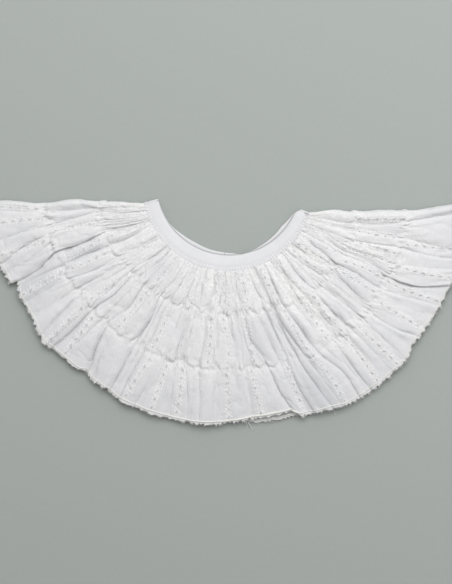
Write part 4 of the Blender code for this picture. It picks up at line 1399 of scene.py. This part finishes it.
def cloth_white_and_painted_light(levels, turns):
    """How white the cloth is: whitest along the openwork, greyer where it is thin towards the hem, and with
    painted light and shade by level and in patches.
    """
    white = np.interp(levels, WHITE_LEVELS, WHITE_PLAIN)[:, None] * np.ones(turns.shape[1])
    for seed, line in enumerate(OPENWORK, STRIPE_SEED):
        for row, turn in openwork_turns(line, levels, 0.0):
            reach = reach_at(levels[row], turn)
            across = (turns[row] - turn) / turn_per_mm(turn, reach)
            patch = cloth_noise(reach * HEM_RADIUS / STRIPE_PATCH, 0.5, seed)
            width = STRIPE_HALF_WIDTH * (1 + STRIPE_UNEVEN * patch)
            stripe = (1 - STRIPE_UNEVEN * (0.5 - patch / 2)) * bell(across, width)
            white[row] = np.maximum(white[row], stripe)
    # Patches of painted shade and painted light.
    for painted_patch in PAINTED_LIGHT_AND_SHADE:
        across = bell(1000 * turns - painted_patch.turn, painted_patch.wide)
        white += painted_patch.white * across * bell(levels - painted_patch.level, painted_patch.long)[:, None]
    return white


@lru_cache(maxsize=None)
def front_cloth():
    """The front half of the frill, with every wave, pleat and wrinkle."""
    counts = column_counts()
    rows, levels, turns = [], [], []
    for band in range(3):
        for level in band_levels(band)[0 if band == 0 else 1 :]:
            section = frill_section(level, counts)
            upper, own = along_pairs(UPPER_HEM, section.turn), along_pairs(HEM, section.turn)
            reach = reach_at(level, section.turn, np.where(section.upper, upper, own))
            rows.append(fan_place(section.turn, reach, section.shift, section.height))
            turns.append(section.turn + section.shift * turn_per_mm(section.turn, reach))
            levels.append(level)
    points, levels = np.array(rows), np.array(levels)
    points = add_relief(scallop_rows(points, levels), levels)
    points = close_neck_seam(add_ragged_hem(add_wrinkles(points)), levels)
    return cloth_from(points, levels, np.array(turns))


def back_hem(turn):
    """Reach of the back half's hem: just short of the front's, but for one place where it shows."""
    past = turn * 1000 > UPPER_HEM[-1][0]
    front = np.where(past, along_pairs(HEM, turn), along_pairs(UPPER_HEM, turn))
    shorter = BACK_HEM_SHORTER * np.minimum(np.minimum(turn, 1 - turn) / BACK_HEM_EASE, 1.0)
    return front - shorter + along_pairs(BACK_HEM_SHOWS, turn)


@lru_cache(maxsize=None)
def back_cloth(left):
    """One side of the back half, from under its shoulder fold to the centre back."""
    side = 1 if left else -1
    fold = LEFT_FOLD if left else RIGHT_FOLD
    columns = BACK_GATHERS * COLUMNS_A_GATHER
    gather = np.linspace(0, BACK_GATHERS, columns + 1)
    puffed = 1 - abs(2 * (gather % 1) - 1) ** BACK_CROWN_POWER
    uneven = 1 + BACK_UNEVEN * np.sin(BACK_UNEVEN_WAVE * np.floor(gather))
    rows, turns = [], []
    levels = np.linspace(0, 3, BACK_ROWS + 1)
    for level in levels:
        edge = along_stations(fold, level) / 1000
        start = edge + side * BACK_START * turn_per_mm(edge, reach_at(level, edge))
        stop = 0.5 - side * BACK_OPENING / 2 * turn_per_mm(0.5, 0.0)
        turn = start + (stop - start) * gather / BACK_GATHERS
        reach = reach_at(level, turn, back_hem(turn))
        thinned = max(level - BACK_HEM_THINS_FROM, 0.0) / (3 - BACK_HEM_THINS_FROM)
        top = blend(BACK_HIGH, BACK_HEM_TOP, thinned**2)
        low = BACK_LOW * (1 - thinned) + LOWEST * thinned
        height = low + (top - low) * puffed * uneven * swell(level)
        height += BACK_HEM_LIFT * thinned * bell(1000 * turn - BACK_LIFT_TURN, BACK_LIFT_WIDTH)
        rows.append(fan_place(turn, reach, 0.0, height))
        turns.append(turn)
    points, turns = np.array(rows), np.array(turns)
    if not left:
        points, turns = points[:, ::-1], turns[:, ::-1]
    return cloth_from(add_ragged_hem(points), levels, turns)


def neckband_spot(stretch, value, share):
    """A point of the neckband's middle surface and its wall's outward direction; share is 0 at its
    inner edge and 1 at the neck seam."""
    turn = {"left": 0.0, "right": 1.0}.get(stretch, value)
    side = {"left": -1, "right": 1}.get(stretch, 0)
    front = blend(BAND_FRONT_INNER_LEVEL, BAND_FRONT_OUTER_LEVEL, share)
    back = BAND_WALL / 2
    bend = (front - back) / 2
    inside = BAND_INNER_RADIUS - BAND_INNER_TAPER * abs(2 * turn - 1) ** 3
    inside += BAND_CORNER * max((turn - BAND_CORNER_FROM) / (1 - BAND_CORNER_FROM), 0.0) ** 2
    shift, height, lean = 0.0, front, 0.0
    if stretch == "back":
        height, lean = back, math.pi
        inside -= float(along_pairs(BACK_BAND_SHOWS, turn))
    elif side:
        angle = math.radians(value)
        shift = -side * bend * (1 - math.cos(angle))
        height = back + bend + bend * math.sin(angle)
        lean = side * (math.pi / 2 - angle)
    outward = (inside - neck_radius(turn)) * (1 - share)
    point = fan_place(turn, 0.0, shift, height, outward)
    angle = float(fan_angle(turn, 0.0))
    way = np.array((math.cos(angle) * math.sin(lean), math.sin(angle) * math.sin(lean), math.cos(lean)))
    return point, way


def neckband_path():
    """The neckband's course from the centre back, round the left fold, the front and the right fold."""
    back_steps = BAND_FRONT_STEPS // 2
    half = 0.5 - BAND_OPENING / 2 * float(turn_per_mm(0.5, 0.0))
    bends = list(np.linspace(90, -90, BAND_BEND_STEPS + 1))
    path = [("back", half - half * k / back_steps) for k in range(back_steps)]
    path += [("left", angle) for angle in reversed(bends)]
    path += [("front", k / BAND_FRONT_STEPS) for k in range(1, BAND_FRONT_STEPS)]
    path += [("right", angle) for angle in bends]
    path += [("back", 1.0 - half * k / back_steps) for k in range(1, back_steps + 1)]
    return path


def squared(wave):
    """A sine's value pushed outward, so that the ring it draws is nearly a rectangle."""
    return np.sign(wave) * abs(wave) ** BAND_SQUARENESS


def sliver_groove(stretch, value, share):
    """A dip in the back of the neckband where it runs out from under the front's inner edge."""
    if stretch != "back":
        return 0.0
    shows = float(along_pairs(BACK_BAND_SHOWS, value))
    out = share * (neck_radius(value) - BAND_INNER_RADIUS + shows)
    return SLIVER_GROOVE * min(shows, 1.0) * bell(out - shows, SLIVER_GROOVE_WIDTH)


def neckband_rings():
    """Closed cross-sections along the neckband, softly rounded at both edges and a little uneven."""
    angles = np.linspace(0, 2 * math.pi, BAND_RING, endpoint=False)
    shares = 0.5 - 0.5 * squared(np.cos(angles))
    sides = squared(np.sin(angles))
    rings = []
    for k, (stretch, value) in enumerate(neckband_path()):
        dimple = BAND_DIMPLE * math.prod(math.sin(wave * k) for wave in BAND_DIMPLE_WAVES)
        ring = []
        for share, side in zip(shares, sides):
            point, way = neckband_spot(stretch, value, share)
            full = 1 + (dimple + BAND_PUFF) * math.sin(math.pi * share)
            full -= BAND_GROOVE * bell(share - SEAM_SHARE, BAND_GROOVE_WIDTH)
            full -= sliver_groove(stretch, value, share)
            pucker = math.sin(BAND_PUCKER_STEP * k) * bell(share - BAND_PUCKER_SHARE, BAND_PUCKER_WIDTH)
            ring.append(point + way * side * BAND_WALL / 2 * (full + BAND_PUCKER * pucker))
        rings.append(ring)
    return np.array(rings)


# ---------------------------------------------------------------- lines on the cloth


def places_at(cloth, row, column):
    """Place and normal at a fractional column of a row."""
    low = int(min(max(math.floor(column), 0), cloth.points.shape[1] - 2))
    f = column - low
    place, normal = (g[row, low] * (1 - f) + g[row, low + 1] * f for g in (cloth.points, cloth.normals))
    return place, unit(normal)


def column_of(cloth, row, turn):
    """Fractional column of a row at a turn, on the topmost cloth there."""
    past = cloth.turns[row] - turn
    crossed = np.nonzero(past[:-1] * past[1:] <= 0)[0]
    if not len(crossed):
        return None
    low = max(crossed, key=lambda c: cloth.points[row, c, 2])
    step = past[low + 1] - past[low]
    return low + (0.5 if step == 0 else -past[low] / step)


def puff_share(turn, level):
    """Which puff a turn lies in at a level, and how far across it."""
    turns = crease_turns(level)
    i = int(np.searchsorted(turns, turn)) - 1
    i = min(max(i, 0), len(turns) - 2)
    return i, (turn - turns[i]) / (turns[i + 1] - turns[i])


def even_steps(path, pitch):
    """A path's middle as points in even steps, STEPS_A_SLIT of them to a pitch, with their direction."""
    place = path["place"]
    along = run_lengths(place)
    slits = math.floor(along[-1] / pitch - SLIT_ROOM)
    start = (along[-1] - slits * pitch) / 2
    at = np.linspace(start, start + slits * pitch, STEPS_A_SLIT * slits + 1)
    made = {key: np.stack([np.interp(at, along, part) for part in path[key].T], axis=-1) for key in path}
    made["along"] = np.gradient(made["place"], axis=0)
    return made


def some_points(paths, chosen):
    """Only those points of evenly stepped paths whose step within its pitch is chosen."""
    picked = []
    for path in paths:
        steps = np.arange(len(path["place"])) % STEPS_A_SLIT
        keep = np.isin(steps, chosen)
        picked.append({key: path[key][keep] for key in path})
    return picked


def openwork_paths(cloth, thickness, pitch, aside=0.0):
    """A path along every openwork row, or so many mm aside, from shirring row to shirring row."""
    paths = []
    for line in OPENWORK:
        places, ups = [], []
        for row, turn in openwork_turns(line, cloth.levels, OPENWORK_ENDS):
            turn += aside * turn_per_mm(turn, reach_at(cloth.levels[row], turn))
            column = column_of(cloth, row, turn)
            if column is None:
                continue
            place, normal = places_at(cloth, row, column)
            places.append(place + normal * thickness / 2)
            ups.append(normal)
        if len(places) >= LEAST_PLACES:
            sizes = np.full((len(places), 3), SLIT_SIZES[line.band - 1])
            paths.append(even_steps({"place": np.array(places), "up": np.array(ups), "size": sizes}, pitch))
    return paths


def row_path(cloth, level, thickness):
    """A path along one row of the cloth, on its upper side."""
    row = nearest(cloth.levels, level)
    return {"place": cloth.points[row] + cloth.normals[row] * thickness / 2, "up": cloth.normals[row]}


def hem_path(cloth, thickness):
    """A path along the stitching inside the hem, with how much fuller its cord is."""
    fuller = along_pairs(HEM_ROLL, cloth.turns[nearest(cloth.levels, HEM_LINE_LEVEL)])
    place = row_path(cloth, HEM_LINE_LEVEL, thickness)["place"]
    return {"place": place, "fuller": np.stack([fuller] * 3, axis=-1)}


def edge_path(cloth):
    """A path along the raw hem, with its outward direction."""
    out = unit(cloth.points[-1] - cloth.points[-4])
    return {"place": cloth.points[-1] - out * FRAY_ROOT, "up": cloth.normals[-1], "out": out}


def seam_path():
    """A path round the neckband, just inside the neck seam on its outer side."""
    places, ups = [], []
    for stretch, value in neckband_path():
        point, way = neckband_spot(stretch, value, SEAM_SHARE)
        places.append(point + way * BAND_WALL / 2 * SEAM_FULL)
        ups.append(way)
    return {"place": np.array(places), "up": np.array(ups)}


def loose_path(points):
    """A smooth path through a loose thread's points."""
    return {"place": np.stack([smooth_run(part, LOOSE_STEPS) for part in zip(*points)], axis=-1)}


# ---------------------------------------------------------------- sizes and colours


def length(name, description, default):
    """A size in metres for the panel."""
    return FloatProperty(name=name, description=description, default=default, unit="LENGTH", precision=5)


def colour(name, description, default):
    """A colour for the panel."""
    looks = {"default": default, "subtype": "COLOR", "min": 0.0, "max": 1.0}
    return FloatVectorProperty(name=name, description=description, **looks)


class CollarSizes(bpy.types.PropertyGroup):
    cloth: length("Cloth", "Thickness of the frill's cotton", 0.0004)
    weave: length("Weave", "Distance between the threads of the weave", 0.00045)
    eyelet_length: length("Eyelet length", "Length of an openwork slit", 0.0050)
    eyelet_width: length("Eyelet width", "Width of an openwork slit", 0.0024)
    eyelet_pitch: length("Eyelet pitch", "Distance between slits along a row", 0.0086)
    whipping: length("Whipping", "Radius of the thread round a slit", 0.00032)
    seam_pitch: length("Seam stitch pitch", "Distance between the neck seam's stitches", 0.0027)
    seam_stitch: length("Seam stitch", "Length of a neck seam stitch", 0.0020)
    shirring_pitch: length("Shirring pitch", "Distance between shirring stitches", 0.0031)
    hem_cord: length("Hem cord", "Radius of the line of stitching inside the hem", 0.00048)
    fray: length("Fray", "Longest loose thread at the raw hem", 0.0034)
    fray_pitch: length("Fray pitch", "Distance between loose threads along the hem", 0.0002)
    seed: IntProperty(name="Seed", description="Choice of the random draws", default=4, min=0)


class CollarColours(bpy.types.PropertyGroup):
    cotton: colour("Cotton", "White of the frill's cotton", (0.823, 0.819, 0.815))
    # Besides thin places, the shade colour carries the frill's painted shade: its patches, levels and
    # crumple hollows.
    shade: colour("Cotton shade", "Thin and worn places of the frill", (0.62, 0.622, 0.641))
    band: colour("Neckband", "White of the neckband", (0.715, 0.715, 0.723))
    band_shade: colour("Neckband shade", "Fainter places of the neckband", (0.645, 0.645, 0.665))
    thread: colour("Thread", "White sewing thread", (0.80, 0.80, 0.79))
    cream: colour("Hem thread", "Cream thread of the hem", (0.69, 0.68, 0.635))
    # The slits' discs are painted shade: the shaded cloth beneath, seen through the openwork.
    gap: colour("Gap", "What shows through the openwork", (0.545, 0.545, 0.57))
    floor: colour("Floor", "Pale board that the collar lies on", (0.42, 0.445, 0.43))


def sizes():
    return bpy.context.scene.collar_sizes


def paints(*names):
    """Colours of the panel."""
    return [tuple(getattr(bpy.context.scene.collar_colours, name)) for name in names]


def ride_and_slot(piece):
    """Set a piece on the floor, and let it ride on the root."""
    places = np.empty(len(piece.data.vertices) * 3)
    piece.data.vertices.foreach_get("co", places)
    places[2::3] = np.maximum(places[2::3], FLOOR_GAP * MM)
    piece.data.vertices.foreach_set("co", places)
    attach(piece, "root")


def lay(name, paths, tree, material, values, joined=True):
    """Grow a piece of sewing along paths, or on their points, by a node tree."""
    source = path_object(name + "_path", paths, joined)
    ride_and_slot(grow(name, source, tree, {"Seed": sizes().seed} | values, material))


# ---------------------------------------------------------------- operators


class COLLAR_OT_front(bpy.types.Operator):
    """Front half of the frill, one shell of cloth for each puffed band"""

    bl_idname = "collar.front"
    bl_label = "Frill front"

    def execute(self, context):
        cloth = front_cloth()
        white = cotton_material("frill_lawn", *paints("cotton", "shade"), sizes().weave)
        for band, name in enumerate(("front_inner_puffs", "front_middle_puffs", "front_outer_puffs")):
            rows = slice(nearest(cloth.levels, band), nearest(cloth.levels, band + 1) + 1)
            shell = cloth_shell(name, cloth, rows, sizes().cloth, white)
            ride_and_slot(shell)
            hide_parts("frill_front")
        return {"FINISHED"}


class COLLAR_OT_back(bpy.types.Operator):
    """Back half of the frill, a shell of cloth on each side of the centre back"""

    bl_idname = "collar.back"
    bl_label = "Frill back"

    def execute(self, context):
        white = cotton_material("back_lawn", *paints("cotton", "shade"), sizes().weave)
        for side in ("left", "right"):
            cloth = back_cloth(side == "left")
            shell = cloth_shell("back_cloth_" + side, cloth, slice(None), sizes().cloth, white)
            ride_and_slot(shell)
            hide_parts("frill_back_" + side)
        return {"FINISHED"}


class COLLAR_OT_neckband(bpy.types.Operator):
    """Doubled neckband and the stitches of the neck seam"""

    bl_idname = "collar.neckband"
    bl_label = "Neckband"

    def execute(self, context):
        rings = neckband_rings()
        along = run_lengths(rings[:, 0])
        around = np.linspace(0, 2 * (NECK_RADIUS - BAND_INNER_RADIUS), rings.shape[1] + 1)
        coordinates = np.stack(np.broadcast_arrays(along[:, None], around[None, :]), axis=-1)
        mesh = grid_mesh("neckband_cloth", rings, coordinates, wrap=True)
        close_ends(mesh, *rings.shape[:2])
        band = add_object("neckband_cloth", mesh)
        looks = (*paints("band", "band_shade"), sizes().weave, BAND_WEAVE)
        band.data.materials.append(cotton_material("band_cotton_white", *looks, striped=False))
        ride_and_slot(band)
        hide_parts("neckband")
        thread = thread_material("seam_thread", *paints("thread", "cotton"))
        values = {"Pitch": sizes().seam_pitch, "Length": sizes().seam_stitch} | SEAM_STITCH
        lay("seam_stitches", [seam_path()], stitch_tree(), thread, values)
        return {"FINISHED"}


class COLLAR_OT_openwork(bpy.types.Operator):
    """Rows of whipped slits that run outward along the puffs, and the shirring stitches"""

    bl_idname = "collar.openwork"
    bl_label = "Openwork and shirring"

    def execute(self, context):
        cloth = front_cloth()
        slot, thickness, pitch = "frill_cotton", sizes().cloth / MM, sizes().eyelet_pitch / MM
        thread = thread_material("whipping_thread", *paints("thread", "cotton"))
        # The slits are not cut; a grey disc inside each rim paints the shade of the cloth seen through it.
        gap = paints("gap")[0]
        gap = thread_material("openwork_gap", gap, [GAP_SHADE_LIGHTER * part for part in gap])
        paths = openwork_paths(cloth, thickness, pitch)
        slits, between = some_points(paths, SLIT_STEPS), some_points(paths, BAR_STEPS)
        values = {"Length": sizes().eyelet_length, "Width": sizes().eyelet_width, "Thread": sizes().whipping}
        lay("eyelet_rims", slits, eyelet_tree(True), thread, values, joined=False)
        lay("eyelet_gaps", slits, eyelet_tree(False), gap, values, joined=False)
        lay("openwork_bars", between, stitch_tree(False), thread, BAR_STITCH, joined=False)
        aside = openwork_paths(cloth, thickness, pitch, CHAIN_ASIDE)
        aside += openwork_paths(cloth, thickness, pitch, -CHAIN_ASIDE)
        lay("openwork_chain", aside, stitch_tree(), thread, CHAIN_STITCH)
        rows = [row_path(cloth, level, thickness) for level in (1, 2)]
        values = {"Pitch": sizes().shirring_pitch} | SHIRRING_STITCH
        lay("shirring_stitches", rows, stitch_tree(), thread, values)
        return {"FINISHED"}


class COLLAR_OT_hem(bpy.types.Operator):
    """Stitched line inside the raw hem, and its frayed threads"""

    bl_idname = "collar.hem"
    bl_label = "Hem"

    def execute(self, context):
        slot, thickness = "frill_cotton", sizes().cloth / MM
        cream = thread_material("hem_thread", *paints("cream", "thread"))
        white = thread_material("frayed_thread", *paints("thread", "cream"))
        cloths = {"front": [front_cloth()], "back": [back_cloth(True), back_cloth(False)]}
        for half, pieces in cloths.items():
            lines = [hem_path(cloth, thickness) for cloth in pieces]
            lay(half + "_hem_line", lines, thread_tree(), cream, {"Radius": sizes().hem_cord})
            times, droop = FRAYING[half]
            values = {"Pitch": times * sizes().fray_pitch, "Longest": sizes().fray, "Droop": droop}
            lay(half + "_fray", [edge_path(cloth) for cloth in pieces], fray_tree(), white, values)
        threads = [loose_path(points) for points in LOOSE_THREADS]
        lay("loose_threads", threads, thread_tree(), white, LOOSE_THREAD)
        return {"FINISHED"}


class COLLAR_OT_stage(bpy.types.Operator):
    """Pale floor, soft studio light and a camera straight above"""

    bl_idname = "collar.stage"
    bl_label = "Stage"

    def execute(self, context):
        half = FLOOR_SIZE / 2
        mesh = bpy.data.meshes.new("floor")
        corners = [(-half, -half, 0), (half, -half, 0), (half, half, 0), (-half, half, 0)]
        mesh.from_pydata(corners, [], [(0, 1, 2, 3)])
        mesh.materials.append(floor_material(*paints("floor")))
        add_object("floor", mesh)
        world = bpy.data.worlds.new("studio")
        context.scene.world = world
        world.use_nodes = True
        sky = world.node_tree.nodes["Background"]
        feed(world.node_tree, sky, {"Color": (1, 1, 1, 1), "Strength": WORLD_STRENGTH})
        for lamp in LAMPS:
            light = bpy.data.lights.new(lamp.name, "AREA")
            light.size = lamp.size
            light.energy = lamp.power
            piece = add_object(lamp.name, light)
            piece.location = lamp.place
            piece.rotation_euler = (-Vector(lamp.place)).to_track_quat("-Z", "Y").to_euler()
        context.scene.view_settings.view_transform = "Standard"
        context.scene.view_settings.gamma = VIEW_GAMMA
        context.scene.view_settings.exposure = VIEW_EXPOSURE
        camera = bpy.data.cameras.new("camera")
        camera.angle = 2 * math.atan(VIEW_HEIGHT / 2 / (CAMERA_PLACE[2] - VIEW_LEVEL))
        context.scene.camera = add_object("camera", camera)
        context.scene.camera.location = CAMERA_PLACE
        return {"FINISHED"}


STEPS = (
    COLLAR_OT_stage,
    COLLAR_OT_neckband,
    COLLAR_OT_front,
    COLLAR_OT_back,
    COLLAR_OT_openwork,
    COLLAR_OT_hem,
)


class COLLAR_PT_panel(bpy.types.Panel):
    """Sizes, colours and building steps of the collar"""

    bl_idname = "COLLAR_PT_panel"
    bl_label = "Ruff collar"
    bl_space_type = "VIEW_3D"
    bl_region_type = "UI"
    bl_category = "Collar"

    def draw(self, context):
        for group in (context.scene.collar_sizes, context.scene.collar_colours):
            column = self.layout.column(align=True)
            for key in group.bl_rna.properties.keys():
                if key not in ("rna_type", "name"):
                    column.prop(group, key)
        for step in STEPS:
            self.layout.operator(step.bl_idname)


CLASSES = (CollarSizes, CollarColours, *STEPS, COLLAR_PT_panel)


def register():
    for kind in CLASSES:
        bpy.utils.register_class(kind)
    bpy.types.Scene.collar_sizes = PointerProperty(type=CollarSizes)
    bpy.types.Scene.collar_colours = PointerProperty(type=CollarColours)


def unregister():
    del bpy.types.Scene.collar_colours
    del bpy.types.Scene.collar_sizes
    for kind in reversed(CLASSES):
        bpy.utils.unregister_class(kind)


def main():
    register()
    for step in STEPS:
        group, name = step.bl_idname.split(".")
        getattr(getattr(bpy.ops, group), name)()


if __name__ == "__main__":
    main()
